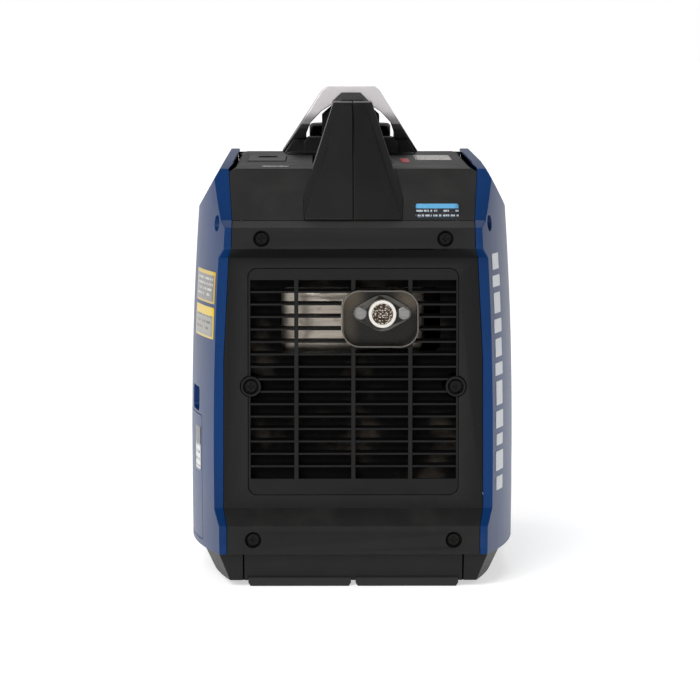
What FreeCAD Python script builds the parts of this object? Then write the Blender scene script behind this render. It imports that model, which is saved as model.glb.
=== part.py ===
"""Portable inverter generator: a suitcase-shaped enclosure on a base tray, a forked carrying handle,
a four-stroke engine with an outer-rotor alternator, a recoil starter, a control panel and an exhaust end.

Frame: millimetres, +Z up, origin on the ground under the middle of the body. -Y is the exhaust end,
+Y the control-panel end, and X runs across, with the recoil starter and service door on the -X side.
"""

import FreeCAD, Part
import math
import os

import Sketcher

V = FreeCAD.Vector
DOC = FreeCAD.newDocument("Generator")
SHEET = DOC.addObject("Spreadsheet::Sheet", "Sizes")
NODES = []

# ---------------------------------------------------------------- driving dimensions
DIMENSIONS = {
    # enclosure
    "body_length": 505,
    "body_width": 290,
    "wall": 3,
    "seam": 0.4,
    "side_flat": 90,
    "side_radius": 494,
    "cover_bottom": 30,
    "low_ledge_top": 54.5,
    "recess_low": 69.3,
    "recess_high": 288.3,
    "high_ledge_foot": 297,
    "high_ledge_top": 315.3,
    "slope_foot": 321,
    "slope_head": 364.5,
    "deck_height": 367,
    "rim_height": 369.5,
    "ledge_depth": 13,
    "slope_foot_inset": 12,
    "slope_head_inset": 50,
    "deck_inset": 102.5,
    "deck_bevel_half": 98,
    "chamfer_foot_half": 138.5,
    "chamfer_foot_height": 326,
    "chamfer_head_half": 114,
    # base
    "base_floor": 5,
    "foot_height": 8,
    # window in each end cover, with the grille or the control panel in it
    "window_half": 91.5,
    "window_low": 81,
    "window_high": 279,
    "window_radius": 8,
    # grille
    "louvre_half": 89.7,
    "louvre_low": 95,
    "louvre_high": 269,
    "louvre_pitch": 10.9,
    "louvre_depth": 8,
    "louvre_edge": 1.7,
    "louvre_bar": 3.7,
    "louvre_bar_pitch": 49.7,
    # exhaust outlet
    "outlet_across": 25.4,
    "outlet_height": 239.4,
    "bolt_reach": 19,
    "dish_across": 23.4,
    "dish_height": 235.2,
    "dish_width": 67,
    "dish_tall": 50,
    "dish_corner": 16,
    "tail_pipe_radius": 12,
    # fasteners
    "screw_cup_radius": 7,
    "screw_head_radius": 5,
    "screw_shank_radius": 2.4,
    # handle
    "grip_thick": 29,
    "grip_half": 17,
    "fork_top": 432,
    "fork_foot_half": 66,
    # fuel cap
    "cap_forward": 148,
    "cap_radius": 39,
    "neck_radius": 24,
    # engine
    "crank_height": 110,
    "cylinder_back": -60,
    "bore_radius": 27,
    "stroke": 38,
    "journal_radius": 7.5,
    "bearing_radius": 17.5,
    "rotor_radius": 68,
    # recoil starter
    "recoil_forward": 129,
    "recoil_radius": 30,
    # service door on the left side
    "door_back": -196,
    "door_front": 70,
    "door_low": 36,
    "door_high": 146,
    "hinge_across": 142.85,
    "hinge_height": 37.6,
    "hinge_radius": 1.5,
}


class Size:
    """A length with its value and the sheet expression that it comes from."""

    def __init__(self, value, text):
        self.value = float(value)
        self.text = text

    def __add__(self, other):
        other = size(other)
        return Size(self.value + other.value, f"({self.text} + {other.text})")

    def __sub__(self, other):
        other = size(other)
        return Size(self.value - other.value, f"({self.text} - {other.text})")

    def __mul__(self, other):
        other = size(other)
        return Size(self.value * other.value, f"({self.text} * {other.text})")

    def __truediv__(self, other):
        other = size(other)
        return Size(self.value / other.value, f"({self.text} / {other.text})")

    def __neg__(self):
        return Size(-self.value, f"(0 - {self.text})")

    def __radd__(self, other):
        return size(other) + self

    def __rsub__(self, other):
        return size(other) - self

    def __rmul__(self, other):
        return size(other) * self

    def root(self):
        return Size(math.sqrt(self.value), f"sqrt({self.text})")


def size(value):
    """A Size from a plain number, or the Size itself."""
    if isinstance(value, Size):
        return value
    number = round(float(value), 6)
    return Size(number, f"({number})" if number < 0 else f"{number}")


class Sizes:
    """Attribute access to the sheet's cells, each as a Size."""

    def __init__(self, table):
        for row, (alias, value) in enumerate(table.items(), start=1):
            SHEET.set(f"A{row}", alias)
            SHEET.set(f"B{row}", str(value))
            SHEET.setAlias(f"B{row}", alias)
            setattr(self, alias, Size(value, f"Sizes.{alias}"))
        SHEET.recompute()


D = Sizes(DIMENSIONS)
HALF_LENGTH = D.body_length / 2
HALF_WIDTH = D.body_width / 2
END_FACE = HALF_LENGTH - D.ledge_depth
EVERYWHERE = (-HALF_LENGTH - 10, D.body_length + 20)
ROPE_HEIGHT = D.crank_height + D.recoil_radius + 2.2
TRAY_FLOOR = 11
SHROUD_RADIUS = 86.5
ENGINE_BACK, ENGINE_FRONT = -108, -12
MUFFLER_MIDDLE = (-2, 236)
PORT_HEIGHT = 243
HEADER_ACROSS = 4
FLANGE_EAR = 6.6
FLANGE_MIDDLE = 16

# ---------------------------------------------------------------- places of repeated or shared details
END_SCREWS = {"upper": (79.7, 305.7), "lower": (87.5, 42.7)}  # (X, Z) in an end cover
GRILLE_SCREW = (89.3, 176)  # (X, Z)
SIDE_SCREW = (228, 318)  # (Y, Z)
SIDE_SCREW_MOUTH = 118.8
HANDLE_SCREWS = ((22, -190, 352), (17, -150, 396), (27, 66, 390))
BAFFLE_MOUTH = (6.5, 234)
BAFFLE_POSTS = ((-93, 82), (93, 82), (-93, 276), (93, 276))
LATCH = (-110, D.door_high - 14)
FOOT_PLACES = [(x, y) for x in (-47, 47) for y in (-224, 224)]
FOOT_HALF = 45
MOUNT_PLACES = [(x, y) for x in (-46, 46) for y in (-96, -24)]
CASE_BOLTS = [(x, z) for x in (-52, 52) for z in (56, 99, 142)]
RECOIL_LEGS = (-90, 30, 150)
PLUG_FOOT = (-12, -60, 240)
PLUG_TURN = ((0, 1, 0), -35)
OUTLETS = ((38, 196), (38, 134))
DIAL = (-54, 236)
ECO = (-6, 244)
RESET = (-6, 206)
LENSES = ((24, 252), (44, 252), (64, 252))
GROUND = (-54, 98)

# the arch over the fuel cap, right half (X, Z), from its foot up to the middle
FORK_OUTER = [(D.fork_foot_half, D.deck_height - 1), (32, 420), (27, 428), (22, D.fork_top)]
FORK_INNER = [(41.8, D.deck_height - 1), (41.8, 386), (38, 397), (27.6, 408), (17.3, 414.6), (10, 415)]

AXIS_TURN = {"X": ((0, 1, 0), 90), "Y": ((1, 0, 0), -90), "Z": None}
SCREW_PLACES = []


# ---------------------------------------------------------------- modelling helpers
def bind(thing, **values):
    """Binds properties to sheet expressions; X__Y in a name stands for the path X.Y."""
    for name, value in values.items():
        thing.setExpression(name.replace("__", "."), size(value).text)


def place(thing, x=0, y=0, z=0, turn=None):
    """Puts a primitive at a point, turned by (axis, degrees) when turn is given."""
    rotation = FreeCAD.Rotation(V(*turn[0]), turn[1]) if turn else FreeCAD.Rotation()
    thing.Placement = FreeCAD.Placement(V(size(x).value, size(y).value, size(z).value), rotation)
    bind(thing, Placement__Base__x=x, Placement__Base__y=y, Placement__Base__z=z)
    return thing


def box(name, x, y, z):
    """A block from x[0] to x[1], y[0] to y[1] and z[0] to z[1]."""
    block = DOC.addObject("Part::Box", name)
    bind(block, Length=size(x[1]) - x[0], Width=size(y[1]) - y[0], Height=size(z[1]) - z[0])
    return place(block, x[0], y[0], z[0])


def rod(name, axis, at, radius, length):
    """A cylinder that starts at a point and runs along the positive X, Y or Z axis."""
    cylinder = DOC.addObject("Part::Cylinder", name)
    bind(cylinder, Radius=radius, Height=length)
    return place(cylinder, *at, turn=AXIS_TURN[axis])


def cone(name, axis, at, radii, length):
    """A truncated cone from radii[0] to radii[1] along the positive X, Y or Z axis."""
    frustum = DOC.addObject("Part::Cone", name)
    bind(frustum, Radius1=radii[0], Radius2=radii[1], Height=length)
    return place(frustum, *at, turn=AXIS_TURN[axis])


def fuse(name, *things):
    """One object from several that touch, or a group of separate solids."""
    joined = DOC.addObject("Part::MultiFuse", name)
    joined.Shapes = list(things)
    joined.Refine = True
    return joined


def common(name, *things):
    """What several objects share."""
    shared = DOC.addObject("Part::MultiCommon", name)
    shared.Shapes = list(things)
    shared.Refine = True
    return shared


def cut(name, base, *tools):
    """The base without the tools."""
    removed = DOC.addObject("Part::Cut", name)
    removed.Base = base
    removed.Tool = tools[0] if len(tools) == 1 else fuse(name + "_tools", *tools)
    removed.Refine = True
    return removed


def tube(name, axis, at, radii, length):
    """A ring or tube with radii (inner, outer)."""
    outer = rod(name + "_outer", axis, at, radii[1], length)
    inner = rod(name + "_inner", axis, at, radii[0], length)
    return cut(name, outer, inner)


def origin_plane(body, role):
    return [feature for feature in body.Origin.OriginFeatures if feature.Role == role][0]


def sketch_on(body, name, plane, offset):
    """A sketch on an origin plane of its body, moved by offset along the axis normal to it."""
    sketch = body.newObject("Sketcher::SketchObject", name)
    sketch.AttachmentSupport = [(origin_plane(body, plane + "_Plane"), "")]
    sketch.MapMode = "FlatFace"
    along = -size(offset) if plane == "XZ" else size(offset)
    bind(sketch, AttachmentOffset__Base__z=along)
    return sketch


def hold_point(sketch, geometry, end, point):
    """Ties one end of a line or arc to its place with two bound distances."""
    for kind, value in zip(("DistanceX", "DistanceY"), point):
        index = sketch.addConstraint(
            Sketcher.Constraint(kind, -1, 1, geometry, end, size(value).value)
        )
        sketch.setExpression(f"Constraints[{index}]", size(value).text)


def draw_outline(sketch, points):
    """A closed polygon through points, with every coordinate bound to the sheet."""
    corners = [V(size(a).value, size(b).value, 0) for a, b in points]
    count = len(corners)
    for i in range(count):
        sketch.addGeometry(Part.LineSegment(corners[i], corners[(i + 1) % count]), False)
    for i in range(count):
        sketch.addConstraint(Sketcher.Constraint("Coincident", i, 2, (i + 1) % count, 1))
        hold_point(sketch, i, 1, points[i])


def new_body(name):
    return DOC.addObject("PartDesign::Body", name)


def edges_along(shape, axis):
    """Names of the straight edges that run along the X, Y or Z axis."""
    index = "XYZ".index(axis)
    found = []
    for number, edge in enumerate(shape.Edges, start=1):
        if edge.Curve.TypeId == "Part::GeomLine":
            if abs(abs(edge.Curve.Direction[index]) - 1) < 1e-6:
                found.append(f"Edge{number}")
    return found


def prism(name, plane, points, start, length, corner=None):
    """A pad of a polygon. The pad runs along the positive axis that is normal to the plane.
    Corner, when given, rounds every edge along that axis."""
    body = new_body(name)
    sketch = sketch_on(body, name + "_sketch", plane, start)
    draw_outline(sketch, points)
    pad = body.newObject("PartDesign::Pad", name + "_pad")
    pad.Profile = sketch
    pad.Reversed = plane == "XZ"
    bind(pad, Length=length)
    if corner is not None:
        DOC.recompute([pad])
        rounding = body.newObject("PartDesign::Fillet", name + "_rounding")
        axis = {"XY": "Z", "XZ": "Y", "YZ": "X"}[plane]
        rounding.Base = (pad, edges_along(pad.Shape, axis))
        bind(rounding, Radius=corner)
    return body


def rectangle(centre, width, height):
    """Corners of a rectangle round a centre."""
    a, b = size(centre[0]), size(centre[1])
    w, h = size(width) / 2, size(height) / 2
    return [(a - w, b - h), (a + w, b - h), (a + w, b + h), (a - w, b + h)]


def mirrored(half_outline):
    """A closed outline from its right half, listed from bottom to top."""
    return list(half_outline) + [(-size(a), b) for a, b in reversed(half_outline)]


def inset(points, distance):
    """A polygon moved inwards by distance, each corner along its mitre."""
    flat = [(size(a).value, size(b).value) for a, b in points]
    count = len(flat)
    area = sum(
        flat[i][0] * flat[(i + 1) % count][1] - flat[(i + 1) % count][0] * flat[i][1]
        for i in range(count)
    )
    side = 1 if area > 0 else -1

    def inward(start, end):
        length = math.dist(start, end)
        return (-side * (end[1] - start[1]) / length, side * (end[0] - start[0]) / length)

    moved = []
    for i in range(count):
        first = inward(flat[i - 1], flat[i])
        second = inward(flat[i], flat[(i + 1) % count])
        scale = 1 + first[0] * second[0] + first[1] * second[1]
        shift = ((first[0] + second[0]) / scale, (first[1] + second[1]) / scale)
        moved.append((size(points[i][0]) + distance * shift[0], size(points[i][1]) + distance * shift[1]))
    return moved


def keep(thing, node):
    """Marks an object as a finished piece; its label is the node's name."""
    thing.Label = node
    NODES.append(thing)
    return thing


# ---------------------------------------------------------------- shared outlines of the enclosure
def barrel_sketch(body, name, height, half, reach, radius):
    """Plan of the body at one height: straight flanks that curve in towards both ends."""
    sketch = sketch_on(body, name, "XY", height)
    run = size(reach) - D.side_flat
    drop = radius - (radius * radius - run * run).root()
    end = size(half) - drop
    flat, reach, half = D.side_flat, size(reach), size(half)
    corners = [(half, -flat), (half, flat), (end, reach), (-end, reach)]
    corners += [(-half, flat), (-half, -flat), (-end, -reach), (end, -reach)]
    arcs = {1: (1, 1), 3: (-1, 1), 5: (-1, -1), 7: (1, -1)}
    values = [V(size(a).value, size(b).value, 0) for a, b in corners]
    for i in range(8):
        start, stop = values[i], values[(i + 1) % 8]
        if i in arcs:
            hub = V(arcs[i][0] * (half.value - radius.value), arcs[i][1] * flat.value, 0)
            middle = hub + ((start + stop) * 0.5 - hub).normalize() * radius.value
            sketch.addGeometry(Part.Arc(start, middle, stop), False)
        else:
            sketch.addGeometry(Part.LineSegment(start, stop), False)
    return sketch, corners, arcs


def barrel(name, sections, radius):
    """A smooth solid through plans of the body; sections lists (height, half width, half length)."""
    body = new_body(name)
    radius = size(radius)
    sketches = []
    for number, (height, half, reach) in enumerate(sections):
        label = f"{name}_plan{number}"
        sketch, corners, arcs = barrel_sketch(body, label, height, half, reach, radius)
        for i in arcs:
            index = sketch.addConstraint(Sketcher.Constraint("Radius", i, radius.value))
            sketch.setExpression(f"Constraints[{index}]", radius.text)
        for i in range(8):
            # An arc's own start and end run anticlockwise, as the outline does.
            sketch.addConstraint(Sketcher.Constraint("Coincident", i, 2, (i + 1) % 8, 1))
            hold_point(sketch, i, 1, corners[i])
        sketches.append(sketch)
    loft = body.newObject("PartDesign::AdditiveLoft", name + "_loft")
    loft.Profile = sketches[0]
    loft.Sections = sketches[1:]
    loft.Ruled = len(sketches) == 2
    return body


def end_profile(plateau, bottom):
    """Side view of the enclosure (Y, Z), the same at both ends, from the lower right."""
    y = HALF_LENGTH
    half = [
        (y, bottom),
        (y, D.low_ledge_top),
        (y - D.ledge_depth, D.recess_low),
        (y - D.ledge_depth, D.recess_high),
        (y, D.high_ledge_foot),
        (y, D.high_ledge_top),
        (y - D.slope_foot_inset, D.slope_foot),
        (y - D.slope_head_inset, D.slope_head),
        (y - D.deck_inset, plateau),
    ]
    return mirrored(half)


def roof_profile():
    """Front view of the enclosure's outer limit (X, Z): upright, then a chamfer up to the rim."""
    run = (D.chamfer_foot_half - D.chamfer_head_half) / (D.rim_height - D.chamfer_foot_height)
    above, wide = size(8), size(152)
    half = [
        (wide, 0),
        (wide, D.chamfer_foot_height - (wide - D.chamfer_foot_half) / run),
        (D.chamfer_head_half - run * above, D.rim_height + above),
    ]
    return mirrored(half)


def seam_line(gap):
    """Half width of the black end covers against height (X, Z); gap draws it in."""
    line = [
        (110.5, 20),
        (110.5, D.low_ledge_top),
        (113.5, D.recess_low),
        (113, 200),
        (108.5, D.recess_high),
        (106, D.high_ledge_foot),
        (105.5, D.slope_foot),
        (109, D.slope_head),
        (106, D.deck_height),
        (106, 385),
    ]
    return [(size(x) - gap, z) for x, z in line]


def shell_solid(name, plateau, thickness):
    """The enclosure as a solid, drawn in by thickness."""
    t = size(thickness)
    bottom = D.cover_bottom if t.value == 0 else D.cover_bottom - 10
    lean = [(15, 0.8), (140, 0), (240, 2.2), (326, 6.8), (385, 11)]
    plans = [(z, HALF_WIDTH - shift - t, 262) for z, shift in lean]
    sides = barrel(name + "_flanks", plans, D.side_radius)
    ends = end_profile(plateau, bottom)
    roof = roof_profile()
    if t.value:
        ends = inset(ends, t)
        ends[0] = (ends[0][0], D.cover_bottom - 10)
        ends[-1] = (ends[-1][0], D.cover_bottom - 10)
        roof = inset(roof, t)
    long_view = prism(name + "_ends", "YZ", ends, -160, 320)
    cross_view = prism(name + "_roof", "XZ", roof, *EVERYWHERE)
    return common(name, sides, long_view, cross_view)


def build_skins():
    """Thin skins for the coloured side covers, whose rim is higher, and for the black covers."""
    rim = cut(
        "rim_skin",
        shell_solid("rim_outer", D.rim_height, 0),
        shell_solid("rim_inner", D.rim_height, D.wall),
    )
    deck = cut(
        "deck_skin",
        shell_solid("deck_outer", D.deck_height, 0),
        shell_solid("deck_inner", D.deck_height, D.wall),
    )
    return rim, deck


RIM_SKIN, DECK_SKIN = build_skins()
RIM_BLOCK = DOC.getObject("rim_outer")
DECK_BLOCK = DOC.getObject("deck_outer")
BLACK_OUTLINE = mirrored(seam_line(D.seam / 2))


# ---------------------------------------------------------------- fasteners and their cups
def screw_cup(name, axis, mouth, way):
    """Adds and removes for a countersunk cup: a boss behind a face and the hollow in it.
    mouth is the centre of the cup's mouth; way is +1 or -1, the direction into the body."""
    depth, floor = 6.5, 2.5
    r = D.screw_cup_radius
    index = "XYZ".index(axis)

    def start(length, skip=0):
        place_at = [size(c) for c in mouth]
        place_at[index] = place_at[index] + (skip if way > 0 else -size(length) - skip)
        return place_at

    boss = rod(name + "_boss", axis, start(depth + floor, 0.3), r + 2, depth + floor - 0.3)
    hollow = rod(name + "_hollow", axis, start(depth + 10, -10), r, depth + 10)
    hole = rod(name + "_hole", axis, start(60, 0), D.screw_shank_radius + 0.3, 20 + 40)
    SCREW_PLACES.append((axis, mouth, way, depth))
    return boss, hollow, hole


def screw(name, axis, mouth, way, depth):
    """A pan-head screw with a cross recess, seated on its cup's floor."""
    index = "XYZ".index(axis)
    head_thick, shank = 3.2, 14

    def start(offset, length):
        place_at = [size(c) for c in mouth]
        place_at[index] = place_at[index] + (offset if way > 0 else -size(offset) - length)
        return place_at

    head = rod(name + "_head", axis, start(depth - head_thick, head_thick), D.screw_head_radius, head_thick)
    stem = rod(name + "_stem", axis, start(depth, shank), D.screw_shank_radius, shank)
    others = [i for i in range(3) if i != index]
    slots = []
    for wide in others:
        low = start(depth - head_thick, 1.8)
        reach = [0, 0, 0]
        reach[wide] = 2.9
        reach[3 - index - wide] = 0.6
        ranges = []
        for i in range(3):
            if i == index:
                ranges.append((low[i], low[i] + 1.8))
            else:
                ranges.append((low[i] - reach[i], low[i] + reach[i]))
        slots.append(box(f"{name}_slot{wide}", *ranges))
    return cut(name, fuse(name + "_blank", head, stem), *slots)


# ---------------------------------------------------------------- end covers, sides and deck
def window_outline(spare):
    """The rounded window in an end cover, grown by spare."""
    low, high = D.window_low - spare, D.window_high + spare
    half = D.window_half + spare
    return [(-half, low), (half, low), (half, high), (-half, high)]


def end_cover(name, way):
    """Black cover at one end: two ledges, with a rounded window between them."""
    zone = prism(name + "_zone", "XZ", BLACK_OUTLINE, *EVERYWHERE)
    top = D.slope_foot - 0.3
    if way > 0:
        part_box = box(name + "_reach", (-150, 150), (150, 270), (0, top))
    else:
        part_box = box(name + "_reach", (-150, 150), (-270, -150), (0, top))
    panel = common(name + "_panel", DECK_SKIN, zone, part_box)
    start = -270 if way < 0 else 200
    window = prism(name + "_window", "XZ", window_outline(D.seam), start, 70, D.window_radius)
    bosses, hollows = [], []
    for across in (-1, 1):
        for level, (x, z) in END_SCREWS.items():
            label = f"{name}_{level}{'r' if across > 0 else 'l'}"
            mouth = (across * size(x), way * HALF_LENGTH, z)
            boss, hollow, hole = screw_cup(label, "Y", mouth, -way)
            bosses.append(boss)
            hollows += [hollow, hole]
    return panel, window, bosses, hollows


def build_rear_cover():
    panel, window, bosses, hollows = end_cover("rear", -1)
    for across in (-1, 1):
        label = f"rear_notch{across + 1}"
        at = (across * size(GRILLE_SCREW[0]), -END_FACE - 4, GRILLE_SCREW[1])
        hollows.append(rod(label, "Y", at, D.screw_cup_radius + 2 + D.seam, 20))
    solid = fuse("rear_panel_bosses", panel, *bosses)
    keep(cut("rear_cover_part", solid, window, *hollows), "rear_cover")


def build_exhaust_grille():
    """Louvred insert: a rim, sloping slats, three upright bars and two screw lugs."""
    face = -END_FACE
    plate = prism("grille_plate", "XZ", window_outline(0), face, D.wall, D.window_radius)
    flange_outline = window_outline(6)
    flange = prism("grille_flange", "XZ", flange_outline, face + D.wall + 0.3, 2, D.window_radius)
    step = prism("grille_step", "XZ", window_outline(-1), face + D.wall - 0.5, 1.2, D.window_radius)
    middle = (0, (D.louvre_low + D.louvre_high) / 2)
    opening = rectangle(middle, D.louvre_half * 2, D.louvre_high - D.louvre_low)
    void = prism("grille_void", "XZ", opening, face - 5, 30)
    rim = cut("grille_rim", fuse("grille_rim_blank", plate, flange, step), void)
    pieces = [rim]
    rows = round((D.louvre_high.value - D.louvre_low.value) / D.louvre_pitch.value)
    for row in range(1, rows):
        z = D.louvre_low + D.louvre_pitch * row
        slat = [
            (face + 0.2, z - D.louvre_edge / 2),
            (face + D.louvre_depth, z + 1),
            (face + D.louvre_depth, z + 1 + D.louvre_edge),
            (face + 0.2, z + D.louvre_edge / 2),
        ]
        pieces.append(prism(f"slat{row}", "YZ", slat, -D.louvre_half - 0.5, D.louvre_half * 2 + 1))
    for column in (-1, 0, 1):
        x = D.louvre_bar_pitch * column
        pieces.append(
            box(
                f"louvre_bar{column + 1}",
                (x - D.louvre_bar / 2, x + D.louvre_bar / 2),
                (face, face + D.louvre_depth - 1),
                (D.louvre_low - 0.5, D.louvre_high + 0.5),
            )
        )
    removes = []
    for across in (-1, 1):
        mouth = (across * size(GRILLE_SCREW[0]), face - 1.5, GRILLE_SCREW[1])
        boss, hollow, hole = screw_cup(f"grille_lug{across + 1}", "Y", mouth, 1)
        collar = rod(f"grille_collar{across + 1}", "Y", mouth, D.screw_cup_radius + 1.6, 3)
        pieces += [boss, collar]
        removes += [hollow, hole]
    outlet = rectangle((D.dish_across, D.dish_height), D.dish_width + 1, D.dish_tall + 1)
    removes.append(prism("grille_outlet", "XZ", outlet, face - 10, 40, D.dish_corner + 0.5))
    keep(cut("exhaust_grille_part", fuse("grille_blank", *pieces), *removes), "exhaust_grille")


def build_exhaust_baffle():
    """Duct wall behind the louvres, open only in front of the muffler."""
    back = -END_FACE + D.louvre_depth + 3.5
    sheet = box("baffle_sheet", (-97, 97), (back, back + 2), (76, 284))
    mouth = prism("baffle_mouth", "XZ", rectangle(BAFFLE_MOUTH, 139, 56), back - 5, 30, 6)
    sleeve = prism("baffle_sleeve", "XZ", rectangle(BAFFLE_MOUTH, 143, 60), back, 5.5, 8)
    lugs = [
        rod(f"baffle_lug{k}", "Y", (x, back - 5, GRILLE_SCREW[1]), 11, 40)
        for k, x in enumerate((-GRILLE_SCREW[0], GRILLE_SCREW[0]))
    ]
    posts = [
        rod(f"baffle_post{n}", "Y", (x, -END_FACE + D.wall + 2.3, z), 4, 6.5)
        for n, (x, z) in enumerate(BAFFLE_POSTS)
    ]
    keep(cut("baffle_part", fuse("baffle_blank", sheet, sleeve, *posts), mouth, *lugs), "exhaust_baffle")


def build_control_end():
    """Front cover: it also carries the slope above the panel, without the deck's side bevel."""
    panel, window, bosses, hollows = end_cover("front", 1)
    zone = prism("brow_zone", "XZ", BLACK_OUTLINE, *EVERYWHERE)
    reach = box("brow_reach", (-150, 150), (188.4, 260), (D.slope_foot - 1, 380))
    brow = common("brow", DECK_SKIN, zone, reach)
    slots = [
        box(f"intake{k}", (12 * k - 2.2, 12 * k + 2.2), (230, 260), (62, 69.5))
        for k in range(-7, 8)
    ]
    solid = fuse("front_panel_bosses", panel, brow, *bosses)
    keep(cut("front_cover_part", solid, window, *hollows, *slots), "front_cover")


def door_outline(spare):
    """The service door in side view (Y, Z), grown by spare."""
    return [
        (D.door_back - spare, D.door_low - spare),
        (D.door_front + spare, D.door_low - spare),
        (D.door_front + spare, D.door_high - 14 + spare),
        (D.door_front - 14 + spare, D.door_high + spare),
        (D.door_back - spare, D.door_high + spare),
    ]


def scoop_outline(spare):
    """The finger recess above the service door in side view (Y, Z), grown by spare."""
    return rectangle((-163, D.door_high + 13.5), 40 + 2 * spare, 21 + 2 * spare)


def build_side_covers():
    """Coloured side covers; the left one is open for the service door and the recoil starter."""
    seam = seam_line(0)
    outside = [(170, 385), (170, 20)]
    right_zone = prism("right_zone", "XZ", seam + outside, *EVERYWHERE)
    left_outline = [(-size(x), z) for x, z in reversed(seam + outside)]
    left_zone = prism("left_zone", "XZ", left_outline, *EVERYWHERE)
    skins = {
        1: common("right_skin", RIM_SKIN, right_zone),
        -1: common("left_skin", RIM_SKIN, left_zone),
    }
    for across, word in ((1, "right"), (-1, "left")):
        bosses, removes = [], []
        for end in (-1, 1):
            mouth = (across * size(SIDE_SCREW_MOUTH), end * size(SIDE_SCREW[0]), SIDE_SCREW[1])
            boss, hollow, hole = screw_cup(f"{word}_side{end + 1}", "X", mouth, -across)
            bosses.append(boss)
            removes += [hollow, hole]
        if across < 0:
            removes.append(prism("door_gap", "YZ", door_outline(D.seam), -170, 70, 5))
            removes.append(hinge_relief())
            removes.append(side_pocket("recoil_gap", 100.8, 46.8, -170, 70))
            bosses.append(prism("scoop_block", "YZ", scoop_outline(2.5), -150, 24, 7))
            removes.append(prism("scoop_hollow", "YZ", scoop_outline(0), -160, 31.5, 4.5))
        inside = common(f"{word}_boss_blocks", fuse(f"{word}_bosses", *bosses), RIM_BLOCK)
        solid = fuse(f"{word}_skin_bosses", skins[across], inside)
        keep(cut(f"{word}_cover_part", solid, *removes), f"side_cover_{word}")
    build_service_door(skins[-1])


def hinge_relief():
    """A square lower front corner to the door's opening, where the hinge end turns."""
    low, front = D.door_low - D.seam, D.door_front + D.seam
    return box("hinge_relief", (-160, -100), (D.door_front - 14, front), (low, low + 9))


def build_service_door(skin):
    """Door cut from the left skin, with a round hinge barrel along its lower edge."""
    zone = prism("door_zone", "YZ", door_outline(0), -170, 70, 5)
    panel = common("door_skin", skin, zone)
    hinge_room = box("hinge_room", (-150, -130), (-130, D.door_front + 5), (30, D.hinge_height))
    latch_hole = rod("latch_hole", "X", (-160, *LATCH), 9.3, 40)
    trimmed = cut("door_trimmed", panel, hinge_room, latch_hole)
    at = (-D.hinge_across, -92, D.hinge_height)
    barrel = rod("hinge_barrel", "Y", at, D.hinge_radius, D.door_front + 85)
    ribs = [
        box(f"door_rib{k}", (-142, -138.5), (y, y + 24), (D.door_low + 8, D.door_low + 11))
        for k, y in enumerate((-85, -20, 40))
    ]
    keep(fuse("door_part", trimmed, barrel, *ribs), "service_door")


def side_pocket(name, length, height, start, reach):
    """Rounded block round the recoil grip, seen from the side."""
    return prism(name, "YZ", rectangle((D.recoil_forward, ROPE_HEIGHT), length, height), start, reach, 12)


def build_deck():
    """Top cover: the deck with bevelled flanks, the rear slope, the hand trough and its openings."""
    zone = prism("deck_zone", "XZ", BLACK_OUTLINE, *EVERYWHERE)
    reach = box("deck_reach", (-150, 150), (-245, 188), (D.slope_foot, 380))
    bevel = [
        (D.deck_bevel_half, D.deck_height),
        (-D.deck_bevel_half, D.deck_height),
        (-113, 359.5),
        (-113, 300),
        (113, 300),
        (113, 359.5),
    ]
    bevels = prism("deck_bevels", "XZ", bevel, *EVERYWHERE)
    thick = common("deck_blank", DECK_SKIN, zone, reach, bevels)
    tub = prism("trough_outer", "XZ", mirrored([(35, 339), (39.5, D.deck_height - 1)]), -153, 214)
    hollow = prism("trough_inner", "XZ", mirrored([(32, 342), (36.3, 370)]), -150, 208)
    filler = rod("filler_hole", "Z", (0, D.cap_forward, 350), D.neck_radius + 4, 30)
    access = box("access_hole", (-94.4, -59.6), (-105.4, 15.4), (350, 380))
    frame_rim = box("access_rim", (-96.5, -57.5), (-107.5, 17.5), (360.5, 364.5))
    frame_hole = box("access_seat", (-91, -63), (-102, 12), (350, 366))
    seat = cut("access_frame", frame_rim, frame_hole)
    solid = fuse("deck_solid", thick, tub)
    opened = cut("deck_opened", solid, hollow, filler, access)
    keep(fuse("top_cover_part", opened, seat), "top_cover")


def stadium(name, centre, width, length, start, reach):
    """A slot with round ends along Y, as an upright solid."""
    x, y = centre
    r = size(width) / 2
    run = size(length) / 2 - r
    return fuse(
        name,
        rod(name + "_back", "Z", (x, size(y) - run, start), r, reach),
        rod(name + "_front", "Z", (x, size(y) + run, start), r, reach),
        box(
            name + "_run",
            (size(x) - r, size(x) + r),
            (size(y) - run, size(y) + run),
            (start, size(start) + reach),
        ),
    )


def build_plug_access_cover():
    """Lift-out cover over the spark plug, with a finger slot."""
    z = D.deck_height
    plate = box("access_plate", (-94, -60), (-105, 15), (z - 2.2, z + 0.8))
    cup = stadium("finger_cup", (-77, -12), 21, 40, z - 9.5, 9.5)
    hollow = stadium("finger_hollow", (-77, -12), 18, 37, z - 8, 12)
    keep(cut("access_part", fuse("access_blank", plate, cup), hollow), "plug_access_cover")


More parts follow.
